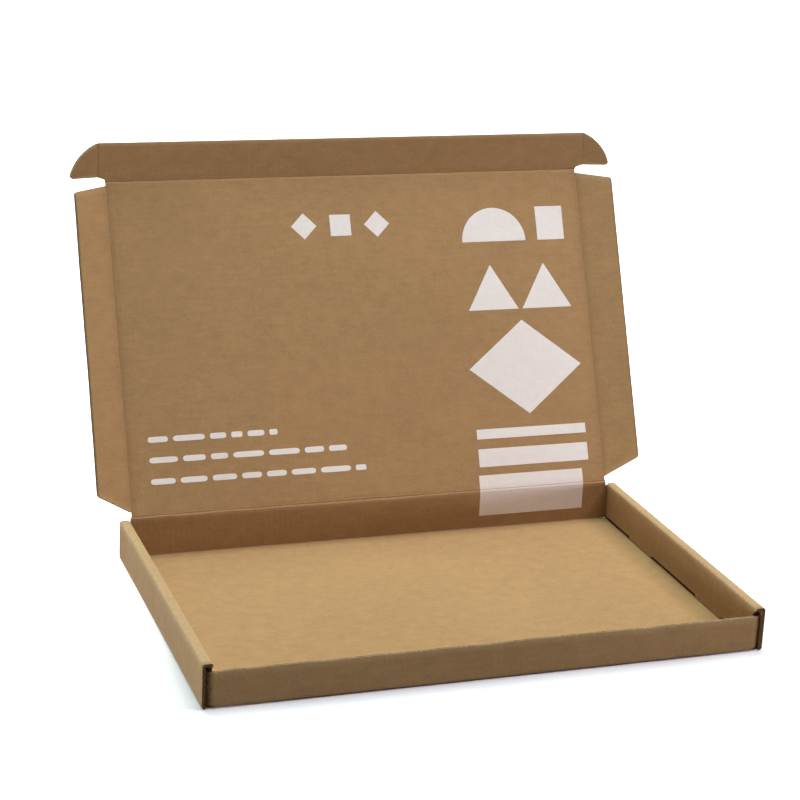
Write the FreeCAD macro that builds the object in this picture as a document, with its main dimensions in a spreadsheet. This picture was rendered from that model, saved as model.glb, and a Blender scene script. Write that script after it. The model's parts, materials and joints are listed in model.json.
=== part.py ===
import FreeCAD
import Part
import Sketcher
import os

# Roll-end mailer box folded from one die-cut sheet of fine corrugated board, standing open.
# Millimetres, +X right, +Y back, +Z up. Origin: centre of the tray's underside.

SIZES = {
    "board": 1.6,  # thickness of the corrugated sheet
    "inside_length": 300.0,  # clear length between the rolled side walls
    "tray_depth": 200.0,  # front face to back face
    "side_height": 24.6,
    "front_height": 19.9,
    "ply_gap": 0.4,  # air between the outer ply and the corner flap, and again to the inner ply
    "ply_lift": 0.7,  # inner ply's lower edge above the floor
    "inner_setback": 3.2,  # inner ply's ends behind the front and back faces
    "floor_bend": 1.8,  # outer radius where the floor turns up
    "roll_bend": 1.4,  # radius of the two upper edges of a rolled wall
    "corner_bend": 2.4,  # outer radius where the front or back wall turns into its corner flap
    "corner_flap": 62.0,  # length of a corner flap, from the wall's outer face
    "corner_relief": 2.6,  # die-cut notch in the floor at each corner
    "flap_lift": 0.3,  # corner flap's lower edge above the floor
    "web_gap": 0.3,  # clearance round the rolled wall's top web
    "tab_width": 32.0,
    "front_tab": 54.5,  # centre of the front tab, from the front face
    "back_tab": 145.0,  # centre of the back tab, from the front face
    "tab_play": 0.25,  # clearance round a tab in its floor slot
    "tab_recess": 0.2,  # tab's end above the underside
    "hinge_rise": 1.0,  # lid crease above the side walls' tops
    "crease_gap": 0.15,  # half the crushed crease between two panels
    "crease_bevel": 0.7,  # bevel that a crushed crease leaves on each panel edge
    "tuck_play": 0.4,  # between the closed tuck flap and the front wall
    "side_play": 0.4,  # between a folded side flap and the rolled wall
    "tuck_length": 23.2,
    "ear_inset": 2.4,  # ear crease from the tray's side face
    "ear_length": 17.8,
    "ear_rise": 3.0,  # ear's lower edge above the tuck crease
    "ear_shoulder": 13.5,  # corner under the ear's round, out from the ear crease
    "ear_drop": 4.5,  # the same corner below the tuck flap's free edge
    "ear_round": 22.0,
    "ear_toe": 2.0,
    "side_flap_width": 22.6,
    "side_flap_foot": 2.8,  # inner lower corner above the hinge
    "side_flap_slant": 10.2,  # rise of the lower edge out to the outer corner
    "side_flap_head": 2.2,  # inner upper corner below the tuck crease
    "side_flap_fall": 5.2,  # fall of the upper edge out to the outer corner
    "lid_lean": 24.0,  # degrees behind upright
    "tuck_fold": 24.0,  # degrees forward of the lid
    "left_fold": 25.0,
    "right_fold": 19.0,
    "ear_fold": 10.0,
    "spill": 1.0,  # how far a cut runs past the board, and a joined panel into its neighbour
}


class Size:
    """A length that carries both its value and the sheet expression it comes from."""

    def __init__(self, value, text):
        self.value, self.text = value, text

    @classmethod
    def of(cls, other):
        return other if isinstance(other, Size) else cls(float(other), repr(float(other)))

    def join(self, other, sign, value):
        return Size(value, f"({self.text} {sign} {Size.of(other).text})")

    def __add__(self, other):
        return self.join(other, "+", self.value + Size.of(other).value)

    def __sub__(self, other):
        return self.join(other, "-", self.value - Size.of(other).value)

    def __mul__(self, other):
        return self.join(other, "*", self.value * Size.of(other).value)

    def __truediv__(self, other):
        return self.join(other, "/", self.value / Size.of(other).value)

    def __neg__(self):
        return Size(-self.value, f"(-1 * {self.text})")


def size_sheet(doc):
    """Spreadsheet of the driving dimensions, and the same sizes by name."""
    sheet = doc.addObject("Spreadsheet::Sheet", "sizes")
    for row, (name, value) in enumerate(SIZES.items(), 1):
        sheet.set(f"A{row}", name)
        sheet.set(f"B{row}", str(value))
        sheet.setAlias(f"B{row}", name)
    doc.recompute()
    return {name: Size(sheet.get(name), f"sizes.{name}") for name in SIZES}


def plane(body, role):
    return next(p for p in body.Origin.OriginFeatures if p.Role == role)


def pin_coordinate(sketch, edge, kind, axis, size):
    """Fix one coordinate of an edge's start point to a size, measured from the origin."""
    if abs(size.value) < 1e-9:
        sketch.addConstraint(Sketcher.Constraint("PointOnObject", edge, 1, axis))
        return
    ends = (-1, 1, edge, 1) if size.value > 0 else (edge, 1, -1, 1)
    length = size if size.value > 0 else -size
    index = sketch.addConstraint(Sketcher.Constraint(kind, *ends, length.value))
    sketch.setExpression(f"Constraints[{index}]", length.text)


def outline(body, name, role, loops, height=None):
    """Sketch of closed straight-sided loops, every corner bound to the sheet."""
    sketch = body.newObject("Sketcher::SketchObject", name)
    sketch.AttachmentSupport = (plane(body, role), [""])
    sketch.MapMode = "FlatFace"
    if height is not None:
        sketch.setExpression(".AttachmentOffset.Base.z", height.text)
    for loop in loops:
        corners = [(Size.of(a), Size.of(b)) for a, b in loop]
        points = [FreeCAD.Vector(a.value, b.value, 0) for a, b in corners]
        first = sketch.GeometryCount
        for start, end in zip(points, points[1:] + points[:1]):
            sketch.addGeometry(Part.LineSegment(start, end))
        for i, (across, up) in enumerate(corners):
            following = first + (i + 1) % len(corners)
            sketch.addConstraint(Sketcher.Constraint("Coincident", first + i, 2, following, 1))
            pin_coordinate(sketch, first + i, "DistanceX", -2, across)
            pin_coordinate(sketch, first + i, "DistanceY", -1, up)
    return sketch


def pad(body, name, sketch, length, centred=False):
    feature = body.newObject("PartDesign::Pad", name)
    feature.Profile = sketch
    feature.SideType = "Symmetric" if centred else "One side"
    feature.Length = length.value
    feature.setExpression("Length", length.text)
    return feature


def pocket(body, name, sketch, length, upward=False):
    feature = body.newObject("PartDesign::Pocket", name)
    feature.Profile = sketch
    feature.Length = length.value
    feature.setExpression("Length", length.text)
    feature.Reversed = upward
    return feature


def edges_along(shape, axis, places):
    """Names of the straight edges parallel to an axis (0, 1 or 2) that pass through the
    places, each a pair of coordinates on the other two axes."""
    others = [i for i in range(3) if i != axis]
    found = []
    for number, edge in enumerate(shape.Edges, 1):
        ends = [v.Point for v in edge.Vertexes]
        if len(ends) != 2 or not isinstance(edge.Curve, (Part.Line, Part.LineSegment)):
            continue
        if any(all(abs(p[i] - q) < 1e-4 for p in ends for i, q in zip(others, place)) for place in places):
            found.append(f"Edge{number}")
    return found


def dress(doc, body, kind, name, base, radius, axis, places):
    """Fillet or chamfer on the edges along an axis at the given places."""
    doc.recompute()
    places = [[Size.of(c).value for c in place] for place in places]
    names = edges_along(base.Shape, axis, places)
    if len(names) < len(places):
        raise RuntimeError(f"{name}: only {len(names)} of {len(places)} edges found")
    feature = body.newObject(f"PartDesign::{kind}", name)
    feature.Base = (base, names)
    value = "Radius" if kind == "Fillet" else "Size"
    setattr(feature, value, radius.value)
    feature.setExpression(value, radius.text)
    return feature


def new_body(doc, name):
    body = doc.addObject("PartDesign::Body", name)
    body.Label = name
    return body


def rectangle(left, low, right, high):
    return [(left, low), (right, low), (right, high), (left, high)]


def both_sides(loop):
    """A loop and its mirror image in the middle plane, which keeps the same turning sense."""
    return [loop, [(-Size.of(a), b) for a, b in reversed(loop)]]


class Layout:
    """Places that several panels share, worked out from the driving sizes."""

    def __init__(self, s):
        board = s["board"]
        self.wall = board * 3 + s["ply_gap"] * 2
        self.half_length = s["inside_length"] / 2 + self.wall
        self.half_depth = s["tray_depth"] / 2
        self.front, self.back = -self.half_depth, self.half_depth
        self.inside_half = s["inside_length"] / 2
        self.flap_outer = self.half_length - board - s["ply_gap"]
        self.flap_inner = self.flap_outer - board
        self.wall_half = self.flap_outer - s["corner_bend"]
        self.hinge_y = self.half_depth - board / 2
        self.hinge_z = s["side_height"] + s["hinge_rise"]
        self.lid_depth = s["tray_depth"] - board * 2 - s["tuck_play"]
        self.side_crease = self.inside_half - s["side_play"] - board / 2
        self.ear_crease = self.half_length - s["ear_inset"]


def build_tray(doc, s, at):
    """Floor, front wall, back wall, corner flaps and the two rolled side walls."""
    body = new_body(doc, "tray")
    board, height = s["board"], s["side_height"]
    half, inner = at.half_length, at.inside_half

    section = [
        (-half, 0), (half, 0), (half, height), (inner, height), (inner, height - board),
        (half - board, height - board), (half - board, board), (-half + board, board),
        (-half + board, height - board), (-inner, height - board), (-inner, height), (-half, height),
    ]
    shell = outline(body, "outer_section", "XZ_Plane", [section])
    base = pad(body, "floor_and_outer_walls", shell, s["tray_depth"], centred=True)
    base = dress(doc, body, "Fillet", "floor_bends", base, s["floor_bend"], 1, [(-half, 0), (half, 0)])
    roll_edges = [(side, height) for side in (-half, half, -inner, inner)]
    base = dress(doc, body, "Fillet", "roll_bends", base, s["roll_bend"], 1, roll_edges)

    ply = rectangle(inner, board + s["ply_lift"], inner + board, height - board)
    plies = outline(body, "inner_ply_section", "XZ_Plane", both_sides(ply))
    pad(body, "inner_walls", plies, s["tray_depth"] - s["inner_setback"] * 2, centred=True)

    play, half_tab = s["tab_play"], s["tab_width"] / 2
    relief, spill = s["corner_relief"], s["spill"]
    edge = half - board
    cuts = [
        rectangle(-edge, at.front - spill, edge, at.front + relief),
        rectangle(-edge, at.back - relief, edge, at.back + spill),
    ]
    tabs = []
    for centre in (at.front + s["front_tab"], at.front + s["back_tab"]):
        low, high = centre - half_tab, centre + half_tab
        cuts += both_sides(rectangle(inner - play, low - play, inner + board + play, high + play))
        tabs += both_sides(rectangle(inner, low, inner + board, high))
    cut_sketch = outline(body, "floor_cut_plan", "XY_Plane", cuts)
    pocket(body, "floor_cuts", cut_sketch, board, upward=True)
    tab_sketch = outline(body, "tab_plan", "XY_Plane", tabs, height=s["tab_recess"])
    pad(body, "tabs", tab_sketch, board + s["ply_lift"])

    web = rectangle(inner - spill, at.back - board - s["web_gap"], half - board, at.back + spill)
    web_sketch = outline(body, "web_relief_plan", "XY_Plane", both_sides(web), height=height)
    pocket(body, "web_relief", web_sketch, board + s["web_gap"])

    foot = relief + spill
    front_section = [
        (at.front, 0), (at.front + foot, 0), (at.front + foot, board), (at.front + board, board),
        (at.front + board, s["front_height"]), (at.front, s["front_height"]),
    ]
    top = at.hinge_z - s["crease_gap"]
    back_section = [
        (at.back, 0), (at.back, top), (at.back - board, top), (at.back - board, board),
        (at.back - foot, board), (at.back - foot, 0),
    ]
    for name, wall_section, face in (("front", front_section, at.front), ("back", back_section, at.back)):
        wall_sketch = outline(body, f"{name}_wall_section", "YZ_Plane", [wall_section])
        base = pad(body, f"{name}_wall", wall_sketch, at.wall_half * 2, centred=True)
        base = dress(doc, body, "Fillet", f"{name}_bend", base, s["floor_bend"], 0, [(face, 0)])
    crease_edges = [(at.back, top), (at.back - board, top)]
    base = dress(doc, body, "Chamfer", "hinge_bevel", base, s["crease_bevel"], 0, crease_edges)

    outer, bend_start, flap_low = at.flap_outer, at.wall_half - spill, board + s["flap_lift"]
    tops = {"front": s["front_height"], "back": height - board - s["web_gap"]}
    for name, face, into in (("front", at.front, 1), ("back", at.back, -1)):
        skin = face + board * into
        end = face + s["corner_flap"] * into
        flap = [
            (bend_start, face), (outer, face), (outer, end), (at.flap_inner, end),
            (at.flap_inner, skin), (bend_start, skin),
        ]
        flap_sketch = outline(body, f"{name}_flap_plan", "XY_Plane", both_sides(flap), height=flap_low)
        base = pad(body, f"{name}_corner_flaps", flap_sketch, tops[name] - flap_low)
        for bend, radius, x, y in (
            ("outer", s["corner_bend"], outer, face),
            ("inner", s["corner_bend"] - board, at.flap_inner, skin),
        ):
            places = [(-x, y), (x, y)]
            base = dress(doc, body, "Fillet", f"{name}_{bend}_corner_bends", base, radius, 2, places)
    return body


def flat_panel(doc, name, corners, s, creases):
    """A panel of board about its own XY plane, with crushed edges at its creases. Each crease
    is an axis (0 or 1) and the coordinate of the panel's edge on the other one."""
    body = new_body(doc, name)
    plan = outline(body, f"{name}_plan", "XY_Plane", [corners])
    base = pad(body, f"{name}_board", plan, s["board"], centred=True)
    skin = s["board"] / 2
    for number, (axis, edge) in enumerate(creases, 1):
        places = [(edge, -skin), (edge, skin)]
        base = dress(doc, body, "Chamfer", f"{name}_crease_{number}", base, s["crease_bevel"], axis, places)
    return body, base


def build_lid(doc, s, at):
    gap = s["crease_gap"]
    side, low, high = at.side_crease - gap, gap, at.lid_depth - gap
    creases = [(0, low), (0, high), (1, -side), (1, side)]
    body, _ = flat_panel(doc, "lid_panel", rectangle(-side, Size.of(low), side, high), s, creases)
    hinge = f"vector(0; {at.hinge_y.text}; {at.hinge_z.text})"
    turn = "rotation(vector(1; 0; 0); 90 - sizes.lid_lean)"
    body.setExpression("Placement", f"placement({hinge}; {turn})")
    return body


def hang(body, carrier, place, axis, angle):
    """Place a panel on its carrier's crease, turned about the crease by the fold angle."""
    x, y = (Size.of(c).text for c in place)
    turn = f"rotation(vector({axis}); {angle})"
    step = f"placement(vector({x}; {y}; 0); {turn})"
    body.setExpression("Placement", f"{carrier.Name}.Placement * {step}")


def build_side_flap(doc, s, at, lid, name, side, fold):
    """Flap along one side of the lid; side is -1 for left and 1 for right."""
    gap = s["crease_gap"] * side
    out = s["side_flap_width"] * side
    foot, head = s["side_flap_foot"], at.lid_depth - s["side_flap_head"]
    low, high = foot + s["side_flap_slant"], head - s["side_flap_fall"]
    corners = [(gap, foot), (out, low), (out, high), (gap, head)]
    body, _ = flat_panel(doc, name, corners, s, [(1, gap)])
    hang(body, lid, (at.side_crease * side, 0), "0; 1; 0", f"{-side} * {fold.text}")
    return body


def build_tuck_flap(doc, s, at, lid):
    gap, rise = s["crease_gap"], s["ear_rise"]
    wide, narrow, tip = at.ear_crease - s["crease_gap"], at.side_crease, s["tuck_length"]
    corners = [(-narrow, gap), (narrow, gap), (wide, rise), (wide, tip), (-wide, tip), (-wide, rise)]
    body, _ = flat_panel(doc, "tuck_flap", corners, s, [(0, gap), (1, -wide), (1, wide)])
    hang(body, lid, (0, at.lid_depth), "1; 0; 0", s["tuck_fold"].text)
    return body


def build_ear(doc, s, at, tuck, name, side):
    """Ear at one end of the tuck flap, with a wide round from the crease's top down to a small
    toe; side is -1 for left and 1 for right."""
    gap, out = s["crease_gap"] * side, s["ear_length"] * side
    shoulder, high = s["ear_shoulder"] * side, s["tuck_length"] - s["ear_drop"]
    top = s["tuck_length"] - s["ear_drop"] * s["crease_gap"] / s["ear_shoulder"]
    corners = [(gap, s["ear_rise"]), (out, s["ear_rise"]), (shoulder, high), (gap, top)]
    body, base = flat_panel(doc, name, corners, s, [(1, gap)])
    base = dress(doc, body, "Fillet", f"{name}_round", base, s["ear_round"], 2, [(shoulder, high)])
    dress(doc, body, "Fillet", f"{name}_toe", base, s["ear_toe"], 2, [(out, s["ear_rise"])])
    hang(body, tuck, (at.ear_crease * side, 0), "0; 1; 0", f"{-side} * sizes.ear_fold")
    return body


def check(doc, bodies):
    """Stop before anything is written if a feature failed or a shape isn't one valid solid."""
    doc.recompute()
    for item in doc.Objects:
        if {"Invalid", "Error"} & set(item.State):
            raise RuntimeError(f"{item.Name} failed: {item.State}")
    for body in bodies:
        shape = body.Shape
        if shape.isNull() or not shape.isValid() or len(shape.Solids) != 1:
            raise RuntimeError(f"{body.Label} isn't one valid solid")
        box = shape.BoundBox
        size = f"{box.XLength:.1f} x {box.YLength:.1f} x {box.ZLength:.1f} mm"
        print(f"{body.Label}: {shape.Volume:.0f} mm3, {size}")


def main():
    doc = FreeCAD.newDocument("mailer_box")
    s = size_sheet(doc)
    at = Layout(s)
    tray = build_tray(doc, s, at)
    lid = build_lid(doc, s, at)
    left = build_side_flap(doc, s, at, lid, "side_flap_left", -1, s["left_fold"])
    right = build_side_flap(doc, s, at, lid, "side_flap_right", 1, s["right_fold"])
    tuck = build_tuck_flap(doc, s, at, lid)
    ears = [build_ear(doc, s, at, tuck, f"ear_{word}", side) for word, side in (("left", -1), ("right", 1))]
    bodies = [tray, lid, left, right, tuck, *ears]
    check(doc, bodies)
    os.makedirs("parts", exist_ok=True)
    for body in bodies:
        body.Shape.exportStep(os.path.join("parts", f"{body.Label}.step"))


main()
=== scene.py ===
"""Dressed model of a mailer box, folded from one sheet of fine corrugated board and standing open.

Lengths in this file are millimetres, and metres in the studio. The meshes are in metres, in the
part's frame: +X along the box's long side, +Y towards the lid hinge, +Z up. Each panel of the sheet
has flat coordinates too: p runs across the flutes and q along them.
"""
import json
import logging
import math
from dataclasses import dataclass, field, replace
from enum import Enum
from typing import Callable, Sequence

import bpy
import numpy as np
from mathutils import Matrix, Vector


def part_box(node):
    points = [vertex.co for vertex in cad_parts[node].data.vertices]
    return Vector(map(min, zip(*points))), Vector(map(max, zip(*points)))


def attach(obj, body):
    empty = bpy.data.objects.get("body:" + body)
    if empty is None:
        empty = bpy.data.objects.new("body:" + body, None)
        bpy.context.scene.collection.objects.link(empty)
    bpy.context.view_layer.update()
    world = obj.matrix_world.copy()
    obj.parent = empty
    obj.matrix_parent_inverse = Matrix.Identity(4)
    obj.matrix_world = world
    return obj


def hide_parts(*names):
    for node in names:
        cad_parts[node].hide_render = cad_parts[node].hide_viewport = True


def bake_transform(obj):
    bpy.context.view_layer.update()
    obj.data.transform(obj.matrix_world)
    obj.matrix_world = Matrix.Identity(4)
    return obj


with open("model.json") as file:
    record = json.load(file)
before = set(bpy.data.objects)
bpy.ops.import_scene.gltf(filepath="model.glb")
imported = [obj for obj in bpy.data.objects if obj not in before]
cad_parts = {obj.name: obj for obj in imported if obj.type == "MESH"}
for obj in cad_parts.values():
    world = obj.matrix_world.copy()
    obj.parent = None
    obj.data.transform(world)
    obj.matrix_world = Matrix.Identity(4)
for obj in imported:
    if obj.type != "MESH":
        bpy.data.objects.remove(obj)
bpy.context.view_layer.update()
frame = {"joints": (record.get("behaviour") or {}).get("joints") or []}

MM = 0.001
QUARTER = math.pi / 2
EDGE = 1e-6
ROUNDING = 1e-9
X_AXIS = np.array([1.0, 0.0, 0.0])
Z_AXIS = np.array([0.0, 0.0, 1.0])

Array = np.ndarray
Pair = tuple[Array, Array]
Span = tuple[float, float]
Triple = tuple[float, float, float]
Colour = tuple[float, float, float, float]
Surface = Callable[[Array, Array], Pair]
Measure = Callable[[Array, Array], Array]
Bounds = Callable[[Array], Pair]
Material = bpy.types.Material
NodeTree = bpy.types.NodeTree
Socket = bpy.types.NodeSocket

WHITE = (1.0, 1.0, 1.0, 1.0)

log = logging.getLogger("mailer_box")


class Side(Enum):
    """The two ends of the box, as the sign of x."""

    LEFT = -1
    RIGHT = 1


class Wall(Enum):
    """The two walls along x, as the way their inner side faces along y."""

    FRONT = 1
    BACK = -1


class Layer(Enum):
    """What a face of the board shows, as its material slot on a piece."""

    INNER = 0
    OUTER = 1
    CUT = 2


def joint(name: str) -> dict:
    """The frame's joint of that name."""
    return next(j for j in frame["joints"] if j["name"] == name)


def joint_point(name: str) -> Array:
    """A joint's place in millimetres."""
    return np.array(joint(name)["pos_m"]) / MM


def rest_fold(name: str) -> float:
    """How far a flap is folded at rest, in radians: its joint's lower limit is the flat sheet."""
    return -math.radians(joint(name)["range_deg"][0])


@dataclass(frozen=True)
class BoxSizes:
    """Sizes of the folded box. The first ones are read from the frame."""

    half_length: float
    half_depth: float
    hinge: Array
    tuck_hinge: Array
    lid_up: Array
    tuck_up: Array
    side_crease: float
    ear_crease: float
    board: float = 1.6
    side_height: float = 24.6
    front_height: float = 19.9
    ply_gap: float = 0.4
    ply_low: float = 3.5
    tab_low: float = 0.2
    inner_setback: float = 3.2
    floor_bend: float = 1.8
    roll_bend: float = 1.4
    corner_bend: float = 4.2
    corner_flap: float = 62.0
    corner_relief: float = 1.62
    flap_low: float = 1.65
    web_relief: float = 1.9
    tab_width: float = 32.0
    tab_centres: Span = (-45.5, 45.0)
    tab_play: float = 0.25
    lid_bulge: float = 0.9
    tuck_length: float = 23.2
    ear_length: float = 17.1
    ear_rise: float = 3.0
    notch_rise: float = 1.9
    notch_nose: float = 1.1
    ear_round: float = 28.0
    ear_toe: float = 2.0
    side_flap_width: float = 22.54
    side_flap_foot: float = 2.8
    side_flap_slant: float = 10.2
    side_flap_head: float = 2.2
    side_flap_fall: float = 5.2

    @classmethod
    def from_frame(cls) -> "BoxSizes":
        """Reads the tray's box and the creases' places.

        Returns:
            The sizes, with every constant at its default.
        """
        _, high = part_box("tray")
        hinge = joint_point("lid_hinge")
        tuck = joint_point("tuck_flap_hinge")
        return cls(
            half_length=high.x / MM,
            half_depth=high.y / MM,
            hinge=hinge,
            tuck_hinge=tuck,
            lid_up=(tuck - hinge) / np.linalg.norm(tuck - hinge),
            tuck_up=np.array(joint("ear_left_hinge")["axis"]),
            side_crease=joint_point("side_flap_right_hinge")[0],
            ear_crease=joint_point("ear_right_hinge")[0],
        )

    @property
    def lid_depth(self) -> float:
        """Distance between the lid's hinge and the tuck crease."""
        return float(np.linalg.norm(self.tuck_hinge - self.hinge))

    @property
    def inside_half(self) -> float:
        """Half the clear length between the rolled side walls."""
        return self.half_length - 3 * self.board - 2 * self.ply_gap

    @property
    def wall_half(self) -> float:
        """Half the straight length of the front and back walls."""
        return self.half_length - self.board - self.ply_gap - self.corner_bend

    @property
    def lid_edge(self) -> float:
        """Half the lid's length beyond the ends of the side flaps' creases."""
        return self.side_crease - 0.15

    @property
    def corner_arc(self) -> float:
        """Length of the bend between the front or back wall and its corner flap, in mid board."""
        return (self.corner_bend - self.board / 2) * QUARTER

    @property
    def floor_arc(self) -> float:
        """Length of the bend between the floor and a wall."""
        return (self.floor_bend - self.board / 2) * QUARTER

    @property
    def roll_arc(self) -> float:
        """Length of each of the two bends at a rolled wall's top."""
        return (self.roll_bend - self.board / 2) * QUARTER

    @property
    def roll_rise(self) -> float:
        """Straight height of a side wall's outer ply."""
        return self.side_height - self.roll_bend - self.floor_bend

    @property
    def roll_web(self) -> float:
        """Straight width of a rolled wall's top."""
        return self.half_length - self.inside_half - 2 * self.roll_bend

    def tabs(self, play: float = 0.0) -> list[Span]:
        """y of the two ends of each tab, or of its slot with that much play."""
        reach = self.tab_width / 2 + play
        return [(centre - reach, centre + reach) for centre in self.tab_centres]


@dataclass(frozen=True)
class Make:
    """How the board is made and creased."""

    liner: float = 0.34
    least_core: float = 0.3
    slot: float = 0.38
    pitch: float = 3.3
    ribbon: float = 0.2
    ribbon_bite: float = 0.02
    ribbon_setback: float = 0.12
    ribbon_overrun: float = 0.05
    ribbon_wear: float = 0.5
    crease: float = 0.75
    crushed: float = 1.38
    creased: float = 1.0
    crush_fade: float = 1.3
    step: float = 4.0

    @property
    def crease_lines(self) -> list[float]:
        """Distances from a crease at which a panel has grid lines, so that its crushed edge is even."""
        return [self.crease + gap for gap in (0.0, 0.3, 0.6, 1.0, 1.5, 2.2, 3.0)]


def smooth(low: float, high: float, value: Array) -> Array:
    """Smooth step from 0 at low to 1 at high: t squared times (3 - 2t)."""
    t = np.clip((value - low) / (high - low), 0.0, 1.0)
    return t * t * (3 - 2 * t)


@dataclass(frozen=True)
class Swell:
    """Gentle random height field: a base plus the height times a mean of sine waves.

    Each wave runs in its own random direction, with 0.6 to 1.7 times the middle wavelength. The
    field grows from nothing at an edge to its full height at the fade's distance from it.
    """

    seed: int
    wavelength: float
    base: float = 0.0
    height: float = 1.0
    fade: float = 30.0
    waves: int = 9

    def within(self, *distances: Array) -> Array:
        """Share of the height that is left at these distances from its edges."""
        return math.prod(smooth(0, self.fade, distance) for distance in distances)

    def at(self, p: Array, q: Array) -> Array:
        """Height at flat places.

        Args:
            p, q: Flat coordinates.

        Returns:
            base + height times the sum of sin(k (p cos a + q sin a) + f), over the root of the number.
        """
        rng = np.random.default_rng(self.seed)
        total = np.zeros(np.broadcast(p, q).shape)
        for _ in range(self.waves):
            angle, phase = rng.uniform(0, 2 * math.pi, 2)
            k = 2 * math.pi / (self.wavelength * rng.uniform(0.6, 1.7))
            total += np.sin(k * (p * math.cos(angle) + q * math.sin(angle)) + phase)
        return self.base + self.height * (total / math.sqrt(self.waves))


FLOOR_SWELL = Swell(11, 95.0, 0.3, 0.24, 26.0)
WALL_SWELLS = {wall: Swell(23 + wall.value, 80.0, 0.22, 0.18, 20.0) for wall in Wall}
EDGE_SWELLS = (Swell(61, 22.0, height=0.16), Swell(62, 6.0, height=0.07))
SIDE_SWELLS = {side: Swell(41 + side.value, 60.0, 0.14, 0.16, 9.0) for side in Side}
LID_SWELL = Swell(7, 120.0, height=0.42)
TUCK_SWELL = Swell(5, 90.0, 0.24, 0.2)
FLAP_SWELL = Swell(3, 70.0, 0.2, 0.2)
CREASE_SWELL = Swell(71, 34.0, height=6.0, waves=5)


def placed(name: str, data: bpy.types.ID) -> bpy.types.Object:
    """A new object of that name in the scene."""
    made = bpy.data.objects.new(name, data)
    bpy.context.scene.collection.objects.link(made)
    return made


def lines(breaks: Sequence[float], step: float) -> Array:
    """Grid lines through every break, with even steps between them no longer than step."""
    breaks = sorted(breaks)
    runs = [
        np.linspace(a, b, max(1, math.ceil((b - a) / step - ROUNDING)), endpoint=False)
        for a, b in zip(breaks, breaks[1:])
        if b - a > EDGE
    ]
    return np.concatenate(runs + [np.array(breaks[-1:])])


def beside(spans: Sequence[Span], slot: float) -> list[float]:
    """The ends of each span together with the lines that lie the slot's depth to either side."""
    return [place + shift for span in spans for place in span for shift in (-slot, 0.0, slot)]


def both(values: Sequence[float]) -> list[float]:
    """Each value and its mirror image."""
    return [sign * value for sign in (-1, 1) for value in values]


def arc_lines(start: float, length: float) -> list[float]:
    """Seven even places on an arc of that length."""
    return [start + length * k / 6 for k in range(7)]


def near(distance: Array, reach: float) -> Array:
    """1 at no distance, falling as a bell curve, exp(-(distance / reach) squared)."""
    return np.exp(-((distance / reach) ** 2))


def mesh_grid(ps: Sequence[float], qs: Sequence[float]) -> Pair:
    """p and q of the grid points of two sets of lines."""
    p, q = np.meshgrid(ps, qs, indexing="ij")
    return p, q


def middle(x: Array) -> Array:
    """A coordinate halfway across each cell of its grid."""
    return (x[1:, 1:] + x[:-1, :-1]) / 2


def zero(p: Array, q: Array) -> Array:
    """Nothing anywhere: no swell, or no wear."""
    return 0 * p


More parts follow.
